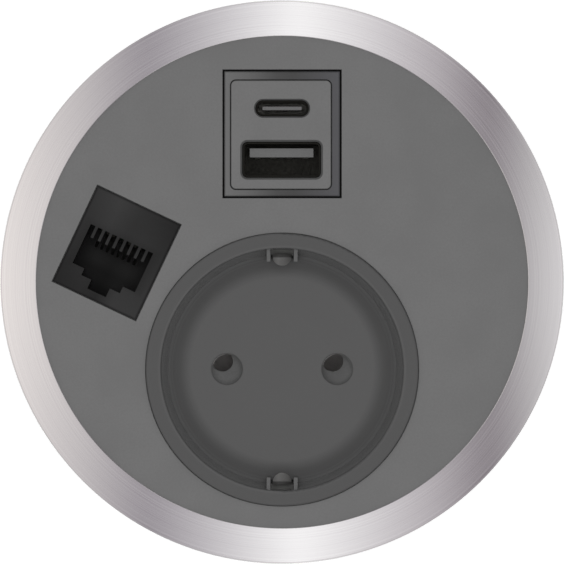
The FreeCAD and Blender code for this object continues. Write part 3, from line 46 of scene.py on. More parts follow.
# Camera: it looks straight down on the desk top from three metres through a long lens, so the
# walls of the socket line up as they do in the photograph. The bezel fills nearly all of the
# picture's width, and its widest edge lies 2.5 mm above the desk.
bezel_wide = 0.0965
bezel_edge_z = 0.0025
photo_wide_px = 565.0
bezel_wide_px = 563.3
axis_off_middle = 0.00007
camera_away = 3.0
lens = bpy.data.cameras.new("camera")
lens.sensor_width = 36.0
lens.lens = lens.sensor_width * camera_away / (bezel_wide * photo_wide_px / bezel_wide_px)
lens.clip_start = 0.05
lens.clip_end = 30.0
camera = bpy.data.objects.new("camera", lens)
camera.location = (axis_off_middle, 0.0, bezel_edge_z + camera_away)
scene.collection.objects.link(camera)
scene.camera = camera


# Room: white all round to the eye and in gloss, and a softer white for all that it lights, so
# that with the lamp overhead a colour renders about as it is written.
def linear(code):
    """An sRGB colour such as #707070 as linear red, green, blue and alpha."""
    parts = [int(code[start:start + 2], 16) / 255 for start in (1, 3, 5)]
    return [part / 12.92 if part <= 0.04045 else ((part + 0.055) / 1.055) ** 2.4 for part in parts] + [1.0]


def add(tree, kind, values=None, links=None, stops=(), **options):
    """Add one node, with its options, input values, links into it and colour stops."""
    node = tree.nodes.new(kind)
    for name, value in options.items():
        setattr(node, name, value)
    for name, value in (values or {}).items():
        node.inputs[name].default_value = value
    for name, source in (links or {}).items():
        tree.links.new(source, node.inputs[name])
    for number, (place, code) in enumerate(stops):
        stop = node.color_ramp.elements[number] if number < 2 else node.color_ramp.elements.new(place)
        stop.position = place
        stop.color = linear(code)
    return node


def seen_by_eye_or_gloss(tree):
    """One for a camera, glossy or transmission ray, and nought for any other."""
    ray = add(tree, "ShaderNodeLightPath")
    either = add(tree, "ShaderNodeMath", None,
                 {0: ray.outputs["Is Camera Ray"], 1: ray.outputs["Is Glossy Ray"]}, operation="MAXIMUM")
    any_of_three = add(tree, "ShaderNodeMath", None,
                       {0: either.outputs[0], 1: ray.outputs["Is Transmission Ray"]}, operation="MAXIMUM")
    return any_of_three.outputs[0]


soft_light = 0.46
room = bpy.data.worlds.new("white_room")
scene.world = room
room.use_nodes = True
room_tree = room.node_tree
room_tree.nodes.clear()
soft = add(room_tree, "ShaderNodeBackground", {"Color": linear("#ffffff"), "Strength": soft_light})
white = add(room_tree, "ShaderNodeBackground", {"Color": linear("#ffffff"), "Strength": 1.0})
wall = add(room_tree, "ShaderNodeMixShader", None,
           {0: seen_by_eye_or_gloss(room_tree), 1: soft.outputs[0], 2: white.outputs[0]})
add(room_tree, "ShaderNodeOutputWorld", None, {"Surface": wall.outputs[0]})

# Lamp: one broad soft lamp high over the desk, which lights a level face as strongly as the soft
# room does. Shiny surfaces don't mirror it.
lamp = bpy.data.lights.new("overhead_lamp", "SUN")
lamp.energy = soft_light * math.pi
lamp.angle = 0.5
overhead = bpy.data.objects.new("overhead_lamp", lamp)
overhead.location = (0.0, 0.0, 1.0)
overhead.visible_glossy = False
scene.collection.objects.link(overhead)


# Floor: a white painted board just under the module, which keeps the soft shadow. To the eye and
# in gloss it is lifted a little, so that it is as white as the room behind it.
def flat_sheet(name, half, high):
    """A level square sheet, two times half across, at this height."""
    mesh = bpy.data.meshes.new(name)
    mesh.from_pydata([(-half, -half, high), (half, -half, high), (half, half, high), (-half, half, high)],
                     [], [(0, 1, 2, 3)])
    sheet = bpy.data.objects.new(name, mesh)
    scene.collection.objects.link(sheet)
    return sheet


floor_half = 3.0
floor_z = -0.0461
floor_lift = 0.52
floor = flat_sheet("floor", floor_half, floor_z)
floor_paint = bpy.data.materials.new("white_painted_board")
floor_paint.use_nodes = True
floor_tree = floor_paint.node_tree
floor_tree.nodes.clear()
paint = add(floor_tree, "ShaderNodeBsdfDiffuse", {"Color": linear("#f4f4f4")})
lift = add(floor_tree, "ShaderNodeMath", {1: floor_lift}, {0: seen_by_eye_or_gloss(floor_tree)},
           operation="MULTIPLY")
glow = add(floor_tree, "ShaderNodeEmission", {"Color": linear("#ffffff")}, {"Strength": lift.outputs[0]})
both = add(floor_tree, "ShaderNodeAddShader", None, {0: paint.outputs[0], 1: glow.outputs[0]})
add(floor_tree, "ShaderNodeOutputMaterial", None, {"Surface": both.outputs[0]})
floor.data.materials.append(floor_paint)


# Reflection cards: a striped card over the module and a wide bowl round it, which only shiny
# surfaces see. They give the bezel the soft light and dark bands that cross it in the
# photograph, and keep its polished edges from melting into the white room.
def only_for_gloss(card, material_name):
    """Hide a card from all but glossy rays, and give back its emptied material's node tree."""
    card.visible_camera = False
    card.visible_diffuse = False
    card.visible_shadow = False
    card.visible_transmission = False
    material = bpy.data.materials.new(material_name)
    material.use_nodes = True
    material.node_tree.nodes.clear()
    card.data.materials.append(material)
    return material.node_tree


def light_with_bands(tree, straight_half, strength, evened):
    """Make a card shine in bands, evened out by this share towards their middle tone.

    The bands run from left to right out to this half width, and go by direction beyond it, so
    that the bezel's rounded edge carries on the tone of its flat."""
    place = add(tree, "ShaderNodeTexCoord").outputs["Object"]
    level = add(tree, "ShaderNodeVectorMath", {1: (1.0, 1.0, 0.0)}, {0: place}, operation="MULTIPLY")
    away = add(tree, "ShaderNodeVectorMath", None, {0: level.outputs[0]}, operation="LENGTH")
    right_end = add(tree, "ShaderNodeMath", {1: straight_half}, {0: away.outputs["Value"]},
                    operation="MAXIMUM")
    left_end = add(tree, "ShaderNodeMath", {1: -1.0}, {0: right_end.outputs[0]}, operation="MULTIPLY")
    across = add(tree, "ShaderNodeSeparateXYZ", None, {0: place})
    side = add(tree, "ShaderNodeMapRange", None, {"Value": across.outputs["X"],
                                                  "From Min": left_end.outputs[0],
                                                  "From Max": right_end.outputs[0]})
    bands = add(tree, "ShaderNodeValToRGB", None, {0: side.outputs[0]}, stops=[
        (0.0, "#ece7e4"), (0.157, "#c0bcbd"), (0.262, "#948f95"), (0.527, "#ffffff"),
        (0.78, "#afaaae"), (0.868, "#827c81"), (0.949, "#bfbdbe"), (1.0, "#dbd9da")])
    # The bands blend evenly to the eye, so they are mixed as display tones and turned to light after.
    display_gamma = 2.2
    middle = linear("#cbc8c9")
    for stop in bands.color_ramp.elements:
        tones = [part ** (1 / display_gamma) for part in stop.color[:3]]
        evens = [part ** (1 / display_gamma) for part in middle[:3]]
        stop.color = [tone + evened * (even - tone) for tone, even in zip(tones, evens)] + [1.0]
    light = add(tree, "ShaderNodeGamma", {"Gamma": display_gamma}, {"Color": bands.outputs["Color"]})
    shining = add(tree, "ShaderNodeEmission", {"Strength": strength}, {"Color": light.outputs[0]})
    add(tree, "ShaderNodeOutputMaterial", None, {"Surface": shining.outputs[0]})


bezel_reach = 0.0484
card_half = 0.3
card_high = 0.25
mirrored_half = bezel_reach * (1 + card_high / camera_away)
over_card = flat_sheet("overhead_card", card_half, card_high)
light_with_bands(only_for_gloss(over_card, "striped_card"), mirrored_half, strength=1.0, evened=0.0)

bowl_sides = 96
bowl_inner = 0.062
bowl_outer = 0.8
bowl_low = -0.0452
bowl_top = 0.7
bowl_rings = [(bowl_inner, bowl_low), (bowl_outer, bowl_low), (bowl_outer, bowl_top)]
bowl_points = []
for away, high in bowl_rings:
    for number in range(bowl_sides):
        turn = math.tau * number / bowl_sides
        bowl_points.append((away * math.cos(turn), away * math.sin(turn), high))
bowl_panels = []
for ring in range(len(bowl_rings) - 1):
    for number in range(bowl_sides):
        here = ring * bowl_sides + number
        beside = ring * bowl_sides + (number + 1) % bowl_sides
        bowl_panels.append((here, beside, beside + bowl_sides, here + bowl_sides))
bowl_mesh = bpy.data.meshes.new("surrounding_bowl")
bowl_mesh.from_pydata(bowl_points, [], bowl_panels)
bowl = bpy.data.objects.new("surrounding_bowl", bowl_mesh)
scene.collection.objects.link(bowl)
light_with_bands(only_for_gloss(bowl, "banded_bowl"), mirrored_half, strength=0.86, evened=0.35)


# Main housing: the threaded tube with its flange, which drops through the desk and carries all
# the rest, and the cover that closes it below. Both are moulded in black glass-filled polyamide,
# whose fibres leave the satin surface slightly mottled.
def moulded(name, dark, light, rough, grain, relief, shine=0.5):
    """A moulded plastic: two near tones, roughness, grain size and its depth in mm, and its shine.

    The grain is drawn coarser than the real one, so that it shows."""
    flow_mm = 9.0
    plastic = bpy.data.materials.new(name)
    plastic.use_nodes = True
    tree = plastic.node_tree
    skin = tree.nodes["Principled BSDF"]
    place = add(tree, "ShaderNodeTexCoord").outputs["Object"]
    grit = add(tree, "ShaderNodeTexNoise", {"Scale": 1000 / grain, "Detail": 3.0}, {"Vector": place})
    flow = add(tree, "ShaderNodeTexNoise", {"Scale": 1000 / flow_mm, "Detail": 2.0}, {"Vector": place})
    tone = add(tree, "ShaderNodeMath", None, {0: grit.outputs["Fac"], 1: flow.outputs["Fac"]},
               operation="MULTIPLY")
    shade = add(tree, "ShaderNodeValToRGB", None, {0: tone.outputs[0]}, stops=[(0.15, dark), (0.35, light)])
    worn = add(tree, "ShaderNodeMapRange",
               {"From Min": 0.3, "From Max": 0.7, "To Min": rough - 0.05, "To Max": rough + 0.05},
               {"Value": flow.outputs["Fac"]})
    bump = add(tree, "ShaderNodeBump", {"Strength": 0.5, "Distance": relief / 1000},
               {"Height": grit.outputs["Fac"]})
    skin.inputs["IOR"].default_value = 1.5
    skin.inputs["Specular IOR Level"].default_value = shine
    tree.links.new(shade.outputs["Color"], skin.inputs["Base Color"])
    tree.links.new(worn.outputs[0], skin.inputs["Roughness"])
    tree.links.new(bump.outputs["Normal"], skin.inputs["Normal"])
    return plastic


def dress(material, *names):
    """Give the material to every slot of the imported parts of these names."""
    for name in names:
        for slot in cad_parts[name].material_slots:
            slot.material = material


housing_polyamide = moulded("glass_filled_polyamide", "#29292a", "#333334",
                            rough=0.42, grain=0.5, relief=0.03, shine=0.4)
dress(housing_polyamide, "main_housing", "rear_cover")


# Mains contacts: the live and neutral sockets and the earth strap, stamped from brass strip and
# plated matt nickel. They look a dull dark grey down in their holes.
def rolled(name, dark, light, rough, line, relief):
    """A rolled or plated metal: two near tones, roughness, and its lines' width and depth in mm.

    The lines are drawn coarser than the real ones, so that they show."""
    stain_mm = 4.0
    lengthwise_share = 0.06
    across_lines = 1000 / line
    along_lines = lengthwise_share * across_lines
    metal = bpy.data.materials.new(name)
    metal.use_nodes = True
    tree = metal.node_tree
    skin = tree.nodes["Principled BSDF"]
    place = add(tree, "ShaderNodeTexCoord").outputs["Object"]
    drawn = add(tree, "ShaderNodeMapping", {"Scale": (across_lines, across_lines, along_lines)},
                {"Vector": place})
    lines = add(tree, "ShaderNodeTexNoise", {"Scale": 1.0, "Detail": 2.0}, {"Vector": drawn.outputs[0]})
    stain = add(tree, "ShaderNodeTexNoise", {"Scale": 1000 / stain_mm, "Detail": 3.0}, {"Vector": place})
    shade = add(tree, "ShaderNodeValToRGB", None, {0: stain.outputs["Fac"]},
                stops=[(0.35, dark), (0.6, light)])
    worn = add(tree, "ShaderNodeMapRange",
               {"From Min": 0.3, "From Max": 0.7, "To Min": rough - 0.06, "To Max": rough + 0.08},
               {"Value": lines.outputs["Fac"]})
    bump = add(tree, "ShaderNodeBump", {"Strength": 0.4, "Distance": relief / 1000},
               {"Height": lines.outputs["Fac"]})
    skin.inputs["Metallic"].default_value = 1.0
    tree.links.new(shade.outputs["Color"], skin.inputs["Base Color"])
    tree.links.new(worn.outputs[0], skin.inputs["Roughness"])
    tree.links.new(bump.outputs["Normal"], skin.inputs["Normal"])
    return metal


matt_nickel = rolled("matt_nickel_on_brass", "#c2c0bd", "#cfcdca", rough=0.45, line=0.5, relief=0.003)
dress(matt_nickel, "live_contact", "neutral_contact", "earth_strap")


# Earth clips: two bent strips of spring brass that grip the earth lands of a plug. They are hot
# tinned, which is paler than nickel, and across their rounded backs a painted highlight and painted
# shade darken them towards the right.
def tint(material, colour):
    """Let this colour drive the material's base colour."""
    tree = material.node_tree
    tree.links.new(colour, tree.nodes["Principled BSDF"].inputs["Base Color"])


clip_back_half = 1.6
tinned_clip = rolled("tinned_spring_brass", "#cfcfcd", "#dcdcda", rough=0.5, line=0.3, relief=0.004)
clip_tree = tinned_clip.node_tree
clip_place = add(clip_tree, "ShaderNodeSeparateXYZ", None,
                 {0: add(clip_tree, "ShaderNodeTexCoord").outputs["Object"]})
clip_side = add(clip_tree, "ShaderNodeMapRange",
                {"From Min": -clip_back_half / 1000, "From Max": clip_back_half / 1000},
                {"Value": clip_place.outputs["X"]})
# Painted highlight and painted shade across the clip's rounded back, darkest at the right.
clip_painted_highlight_and_shade = add(clip_tree, "ShaderNodeValToRGB", None, {0: clip_side.outputs[0]}, stops=[
    (0.0, "#d0d0ce"), (0.3, "#ececea"), (0.6, "#dadad8"), (1.0, "#a8a8a6")])
tint(tinned_clip, clip_painted_highlight_and_shade.outputs["Color"])
dress(tinned_clip, "earth_clip_upper", "earth_clip_lower")

# Screws: turned steel with a bright zinc plate, slightly blue. They hold the contacts, the
# contact base and the rear cover.
zinc_steel = rolled("zinc_plated_steel", "#a5a6a8", "#bdbec0", rough=0.3, line=0.4, relief=0.01)
dress(zinc_steel, "terminal_screws", "base_screws", "cover_screws")


# Socket cup and contact base: the recessed mains outlet, moulded in grey polycarbonate. Rim and
# floor have a fine satin finish, and the wall is rubbed smooth by plugs. Tones go by radius in mm:
# the cup's grey, with painted shade round the floor's edge, painted light up the wall, where less
# light falls, and a painted highlight along the rim's inner edge.
def flecked(tree, tone, grain, spread):
    """The tone mottled by flecks of this size in mm, up to this share lighter or darker."""
    grit = add(tree, "ShaderNodeTexNoise", {"Scale": 1000 / grain, "Detail": 3.0},
               {"Vector": add(tree, "ShaderNodeTexCoord").outputs["Object"]})
    fleck = add(tree, "ShaderNodeMapRange", {"To Min": 1 - spread, "To Max": 1 + spread},
                {"Value": grit.outputs["Fac"]})
    mottled = add(tree, "ShaderNodeVectorMath", None, {0: tone, "Scale": fleck.outputs[0]},
                  operation="SCALE")
    return mottled.outputs[0]


socket_axis_y = -15.0
tone_reach = 25.0
rim_foot_z = 0.4
rim_above_z = 1.2
# The cup's grey by radius, with painted shade round the floor's edge and painted light up the wall.
wall_grey_and_painted_shading = [(0.0, "#5f5f5f"), (11.25, "#626262"), (15.75, "#656565"), (16.5, "#5e5e5e"),
              (17.5, "#555555"), (18.0, "#555555"), (18.6, "#5d5d5d"), (19.25, "#6d6d6d"),
              (19.65, "#868686"), (20.0, "#838383"), (20.65, "#7d7d7d"), (20.85, "#525252"),
              (25.0, "#525252")]
# The rim's grey, with a painted highlight along its inner edge.
rim_grey_and_painted_highlight = [(20.8, "#5f5f5f"), (21.325, "#525252")]
# As greys on the ramp, satin is a roughness of 0.5 and polished one of 0.2.
satin = "#bcbcbc"
polished = "#7c7c7c"
wall_finish = [(0.0, satin), (17.5, satin), (19.5, polished), (20.75, polished), (21.0, satin)]
socket_grey = moulded("satin_polycarbonate", "#4f4f4f", "#545454",
                      rough=0.5, grain=0.35, relief=0.006, shine=0.25)
socket_tree = socket_grey.node_tree
socket_place = add(socket_tree, "ShaderNodeTexCoord").outputs["Object"]
from_axis = add(socket_tree, "ShaderNodeVectorMath", {1: (0.0, -socket_axis_y / 1000, 0.0)},
                {0: socket_place}, operation="ADD")
level_only = add(socket_tree, "ShaderNodeVectorMath", {1: (1.0, 1.0, 0.0)}, {0: from_axis.outputs[0]},
                 operation="MULTIPLY")
cup_radius = add(socket_tree, "ShaderNodeVectorMath", None, {0: level_only.outputs[0]}, operation="LENGTH")
cup_share = add(socket_tree, "ShaderNodeMapRange", {"From Max": tone_reach / 1000},
                {"Value": cup_radius.outputs["Value"]})
wall_painted_shading_ramp = add(socket_tree, "ShaderNodeValToRGB", None, {0: cup_share.outputs[0]},
                stops=[(away / tone_reach, tone) for away, tone in wall_grey_and_painted_shading])
rim_painted_highlight_ramp = add(socket_tree, "ShaderNodeValToRGB", None, {0: cup_share.outputs[0]},
               stops=[(away / tone_reach, tone) for away, tone in rim_grey_and_painted_highlight])
cup_finish = add(socket_tree, "ShaderNodeValToRGB", None, {0: cup_share.outputs[0]},
                 stops=[(away / tone_reach, finish) for away, finish in wall_finish])
cup_height = add(socket_tree, "ShaderNodeSeparateXYZ", None, {0: socket_place})
near_rim = add(socket_tree, "ShaderNodeMapRange",
               {"From Min": rim_foot_z / 1000, "From Max": rim_above_z / 1000},
               {"Value": cup_height.outputs["Z"]})
cup_grey_and_painted_shading = add(socket_tree, "ShaderNodeMix", None,
               {0: near_rim.outputs[0], 6: wall_painted_shading_ramp.outputs["Color"], 7: rim_painted_highlight_ramp.outputs["Color"]},
               data_type="RGBA")
tint(socket_grey, flecked(socket_tree, cup_grey_and_painted_shading.outputs[2], grain=0.4, spread=0.03))
socket_tree.links.new(cup_finish.outputs["Color"], socket_tree.nodes["Principled BSDF"].inputs["Roughness"])
dress(socket_grey, "socket_cup", "contact_base")

# Clip stops: behind each earth clip a small nylon wedge is pressed into the channel of the cup,
# so that a plug can't push the clip further than its spring allows. They are moulded in light
# grey nylon and fill most of the gap that shows behind the clip.
stop_half_wide = 1.94
stop_edge = 0.12
# Distance from the socket's axis and height, in mm, round the wedge seen from its side.
stop_outline = [(21.45, -3.45), (20.55, -4.9), (19.65, -6.35), (19.62, -6.6), (19.72, -7.0), (21.45, -7.9)]
stop_corners = len(stop_outline)
stop_nylon = moulded("light_grey_nylon", "#8a8a88", "#929290", rough=0.45, grain=0.4, relief=0.01)
for name, side in (("clip_stop_upper", 1), ("clip_stop_lower", -1)):
    stop_points = []
    for across in (-stop_half_wide, stop_half_wide):
        for away, high in stop_outline:
            stop_points.append((side * across / 1000, (side * away + socket_axis_y) / 1000, high / 1000))
    stop_faces = [tuple(range(stop_corners)), tuple(reversed(range(stop_corners, 2 * stop_corners)))]
    for corner in range(stop_corners):
        after = (corner + 1) % stop_corners
        stop_faces.append((after, corner, corner + stop_corners, after + stop_corners))
    stop_mesh = bpy.data.meshes.new(name)
    stop_mesh.from_pydata(stop_points, [], stop_faces)
    stop_mesh.materials.append(stop_nylon)
    clip_stop = bpy.data.objects.new(name, stop_mesh)
    scene.collection.objects.link(clip_stop)
    softened = clip_stop.modifiers.new("moulded_edges", "BEVEL")
    softened.width = stop_edge / 1000
    softened.segments = 3
    softened.limit_method = "ANGLE"
    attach(clip_stop, "root")

# Shutter: a plate behind the pin holes that slides aside for a plug. It is moulded in grey acetal,
# which has a soft shine and is a little paler than the cup.
shutter_acetal = moulded("moulded_grey_acetal", "#7a7a7a", "#828282",
                         rough=0.4, grain=0.4, relief=0.005, shine=0.3)
dress(shutter_acetal, "shutter")

# Shutter spring: a coil of hard drawn steel wire with closed ends, lying between the shutter's ear
# and the end of its pocket. It is built at rest and does not move with the plate, though the real
# one shortens along the slide as the plate moves, and pushes it back. The wire is left bare, a
# bright grey with fine lines from the drawing die.
spring_wire = rolled("drawn_spring_wire", "#8c8c8e", "#a3a3a5", rough=0.25, line=0.2, relief=0.005)
spring_foot = (12.55, -10.8, -18.5)
slide_turn = math.radians(-60.4)
slide_way = (math.cos(slide_turn), math.sin(slide_turn), 0.0)
spring_room = 10.0
spring_clear = 0.02
wire_r = 0.2
coil_r = 1.25
coil_turns = 9
closed_turns = 1
turn_steps = 28
wire_sides = 10
sharpest_blend = math.radians(50)
closed_ends = 2 * (spring_clear + wire_r) + 4 * wire_r * closed_turns
open_pitch = (spring_room - closed_ends) / (coil_turns - 2 * closed_turns)
spring_points = []
for step in range(coil_turns * turn_steps + 1):
    turns = step / turn_steps
    closed = min(turns, closed_turns) + max(turns - (coil_turns - closed_turns), 0.0)
    along = spring_clear + wire_r + closed * 2 * wire_r + (turns - closed) * open_pitch
    for corner in range(wire_sides):
        round_wire = math.tau * corner / wire_sides
        off_axis = coil_r + wire_r * math.cos(round_wire)
        side_step = off_axis * math.cos(math.tau * turns)
        up_step = off_axis * math.sin(math.tau * turns)
        forward = along + wire_r * math.sin(round_wire)
        spring_points.append(((spring_foot[0] + forward * slide_way[0] - side_step * slide_way[1]) / 1000,
                              (spring_foot[1] + forward * slide_way[1] + side_step * slide_way[0]) / 1000,
                              (spring_foot[2] + up_step) / 1000))
spring_faces = []
for step in range(coil_turns * turn_steps):
    for corner in range(wire_sides):
        here = step * wire_sides + corner
        beside = step * wire_sides + (corner + 1) % wire_sides
        spring_faces.append((here, beside, beside + wire_sides, here + wire_sides))
last_ring = coil_turns * turn_steps * wire_sides
spring_faces.append(tuple(reversed(range(wire_sides))))
spring_faces.append(tuple(range(last_ring, last_ring + wire_sides)))
spring_mesh = bpy.data.meshes.new("shutter_coil")
spring_mesh.from_pydata(spring_points, [], spring_faces)
spring_mesh.shade_smooth()
spring_mesh.set_sharp_from_angle(angle=sharpest_blend)
spring_mesh.materials.append(spring_wire)
shutter_coil = bpy.data.objects.new("shutter_coil", spring_mesh)
scene.collection.objects.link(shutter_coil)
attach(shutter_coil, "root")
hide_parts("shutter_spring")
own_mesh(shutter_coil)

# Charger: a closed case moulded in flame-proof polycarbonate, near black and satin. Inside stand
# two boards joined by tinned pins, a small taped transformer and two sleeved capacitors.
case_black = moulded("flame_proof_polycarbonate", "#232324", "#2b2b2c",
                     rough=0.5, grain=0.4, relief=0.02, shine=0.4)
dress(case_black, "charger_case")
# Glass cloth pressed in epoxy, under a green lacquer: finely mottled.
laminate_green = moulded("glass_epoxy_laminate", "#1f4a33", "#28573d", rough=0.38, grain=0.35, relief=0.01)
dress(laminate_green, "charger_output_board", "charger_power_board")
# Pressed and fired ferrite: dark grey and dull.
core_ferrite = moulded("sintered_ferrite", "#2f2f31", "#3b3b3d", rough=0.6, grain=0.3, relief=0.02)
dress(core_ferrite, "transformer_core")
# Polyester tape wound over the coil: amber and glossy.
winding_film = moulded("polyester_winding_tape", "#c8ab35", "#d8bc46", rough=0.3, grain=1.2, relief=0.01)
dress(winding_film, "transformer_winding")
# Drawn aluminium cans under a dark shrunk sleeve: a blue-black sheen.
can_aluminium = rolled("sleeved_aluminium_can", "#34363c", "#40424a", rough=0.3, line=0.6, relief=0.01)
dress(can_aluminium, "filter_capacitors")
# Brass pins dipped in tin: pale, with a soft shine.
tinned_brass = rolled("tinned_brass", "#c9c9c7", "#dcdcda", rough=0.5, line=0.3, relief=0.004)
dress(tinned_brass, "board_link_pins")


# Charging ports: drawn steel shells with a black nickel finish, brightened deep inside by painted
# light, grey nylon tongues, and contact strips painted dark for the shade they lie in, so that they
# hardly show on them.
def black_nickel_with_painted_light(name, inner, outer, low, high):
    """A black nickel finish, brightened deep inside by painted light: it turns from the inner to the outer
    tone between two heights in mm.
    """
    metal = rolled(name, inner, outer, rough=0.4, line=0.3, relief=0.004)
    tree = metal.node_tree
    place = add(tree, "ShaderNodeSeparateXYZ", None, {0: add(tree, "ShaderNodeTexCoord").outputs["Object"]})
    depth = add(tree, "ShaderNodeMapRange", {"From Min": low / 1000, "From Max": high / 1000},
                {"Value": place.outputs["Z"]})
    tone = add(tree, "ShaderNodeValToRGB", None, {0: depth.outputs[0]}, stops=[(0.0, inner), (1.0, outer)])
    tint(metal, tone.outputs["Color"])
    return metal


# Painted light brightens both shells deep inside the ports.
usb_a_nickel = black_nickel_with_painted_light("black_nickel_on_steel", "#484844", "#2c2c29", low=-3.5, high=1.4)
dress(usb_a_nickel, "usb_a_shell")
usb_c_nickel = black_nickel_with_painted_light("black_nickel_on_thin_steel", "#b4b4ae", "#272724", low=-3.5, high=1.4)
dress(usb_c_nickel, "usb_c_shell")
tongue_nylon = moulded("moulded_nylon_tongue", "#686868", "#6e6e6e",
                       rough=0.45, grain=0.3, relief=0.005, shine=0.3)
dress(tongue_nylon, "usb_a_tongue", "usb_c_tongue")
# The contact strips are painted dark for the shade they lie in.
contacts_painted_dark_for_shade = rolled("nickel_plate_painted_dark_for_shade", "#2f2f2c", "#383835", rough=0.35, line=0.2, relief=0.002)
dress(contacts_painted_dark_for_shade, "usb_a_contacts", "usb_c_contacts")

# Charger panel: a raised front moulded in satin grey polycarbonate, with a flange held under the
# frame. Painted shade darkens it a little where its edges round off into the groove and the port mouths.
panel_edge_z = 2.4
panel_flat_z = 2.66
panel_edge_share = 0.75
panel_plastic = moulded("satin_polycarbonate_panel", "#6d6d6d", "#717171",
                        rough=0.5, grain=0.35, relief=0.004, shine=0.25)
panel_tree = panel_plastic.node_tree
panel_skin = panel_tree.nodes["Principled BSDF"]
panel_place = add(panel_tree, "ShaderNodeSeparateXYZ", None,
                  {0: add(panel_tree, "ShaderNodeTexCoord").outputs["Object"]})
# Painted shade at the rounded edges, by height.
panel_edge = add(panel_tree, "ShaderNodeMapRange",
                 {"From Min": panel_edge_z / 1000, "From Max": panel_flat_z / 1000,
                  "To Min": panel_edge_share},
                 {"Value": panel_place.outputs["Z"]})
panel_painted_edge_shade = add(panel_tree, "ShaderNodeVectorMath", None,
                  {0: panel_skin.inputs["Base Color"].links[0].from_socket, "Scale": panel_edge.outputs[0]},
                  operation="SCALE")
tint(panel_plastic, panel_painted_edge_shade.outputs[0])
dress(panel_plastic, "charger_front_panel")

# Charger frame: moulded in ABS and lacquered satin, with painted light on its left side, painted
# shade towards its middle and a bluish tint at its right, and sealed into the face plate with a
# narrow lip of moulded black silicone.
seal_silicone = moulded("moulded_silicone_seal", "#050505", "#0a0a0a",
                        rough=0.6, grain=0.4, relief=0.01, shine=0.15)
dress(seal_silicone, "charger_seal")
frame_half = 9.85
frame_lacquer = moulded("lacquered_abs_frame", "#4a4a4b", "#505052",
                        rough=0.4, grain=0.4, relief=0.003, shine=0.3)
frame_tree = frame_lacquer.node_tree
frame_place = add(frame_tree, "ShaderNodeSeparateXYZ", None,
                  {0: add(frame_tree, "ShaderNodeTexCoord").outputs["Object"]})
frame_side = add(frame_tree, "ShaderNodeMapRange",
                 {"From Min": -frame_half / 1000, "From Max": frame_half / 1000},
                 {"Value": frame_place.outputs["X"]})
# Painted light on the left side and painted shade towards the middle, across the frame.
frame_painted_light_and_shade = add(frame_tree, "ShaderNodeValToRGB", None, {0: frame_side.outputs[0]}, stops=[
    (0.0, "#6a6a6a"), (0.2, "#606060"), (0.45, "#484848"), (0.6, "#434343"), (1.0, "#525255")])
tint(frame_lacquer, flecked(frame_tree, frame_painted_light_and_shade.outputs["Color"], grain=0.4, spread=0.04))
dress(frame_lacquer, "charger_frame")

# Data jack: two shells of filled nylon in near black, clipped together round a small board. The
# face carries a painted highlight from its upper middle and its lower right corner, with painted
# shade at its edges, and the port is black inside. Its sprung wires are bronze with a black nickel finish.
jack_middle = (-28.347, 4.978)
jack_turn = math.radians(-25.3)
jack_tone_half = 8.0
jack_nylon = moulded("filled_nylon_jack", "#2c2c2c", "#343434",
                     rough=0.5, grain=0.4, relief=0.008, shine=0.2)
jack_tree = jack_nylon.node_tree
# The jack's own level axes, in mm from its middle.
jack_own = add(jack_tree, "ShaderNodeMapping",
               {"Location": (jack_middle[0] / 1000, jack_middle[1] / 1000, 0.0),
                "Rotation": (0.0, 0.0, jack_turn), "Scale": (0.001, 0.001, 0.001)},
               {"Vector": add(jack_tree, "ShaderNodeTexCoord").outputs["Object"]}, vector_type="TEXTURE")
jack_mm = add(jack_tree, "ShaderNodeSeparateXYZ", None, {0: jack_own.outputs[0]})
jack_side = add(jack_tree, "ShaderNodeMapRange", {"From Min": -jack_tone_half, "From Max": jack_tone_half},
                {"Value": jack_mm.outputs["X"]})
jack_up = add(jack_tree, "ShaderNodeMapRange", {"From Min": -jack_tone_half, "From Max": jack_tone_half},
              {"Value": jack_mm.outputs["Y"]})
# Painted highlight across the face, along its upper and lower edges.
jack_upper_painted_highlight = add(jack_tree, "ShaderNodeValToRGB", None, {0: jack_side.outputs[0]}, stops=[
    (0.0, "#2b2b2b"), (0.31, "#353535"), (0.56, "#292929"), (1.0, "#1c1c1c")])
jack_lower_painted_highlight = add(jack_tree, "ShaderNodeValToRGB", None, {0: jack_side.outputs[0]}, stops=[
    (0.0, "#1a1a1a"), (0.3, "#222222"), (0.5, "#1e1e1e"), (0.69, "#313131"), (1.0, "#303030")])
jack_painted_highlight = add(jack_tree, "ShaderNodeMix", None,
                {0: jack_up.outputs[0], 6: jack_lower_painted_highlight.outputs["Color"],
                 7: jack_upper_painted_highlight.outputs["Color"]},
                data_type="RGBA")
# Painted shade along the face's outer edge.
face_half = (7.87, 9.05, 0.0)
edge_from = 0.15
edge_to = 0.42
edge_share = 0.4
from_middle = add(jack_tree, "ShaderNodeVectorMath", None, {0: jack_own.outputs[0]}, operation="ABSOLUTE")
from_edge = add(jack_tree, "ShaderNodeVectorMath", {0: face_half}, {1: from_middle.outputs[0]},
                operation="SUBTRACT")
edge_mm = add(jack_tree, "ShaderNodeSeparateXYZ", None, {0: from_edge.outputs[0]})
nearest = add(jack_tree, "ShaderNodeMath", None, {0: edge_mm.outputs["X"], 1: edge_mm.outputs["Y"]},
              operation="MINIMUM")
jack_painted_edge_shade = add(jack_tree, "ShaderNodeMapRange",
                  {"From Min": edge_from, "From Max": edge_to, "To Min": edge_share},
                  {"Value": nearest.outputs[0]})
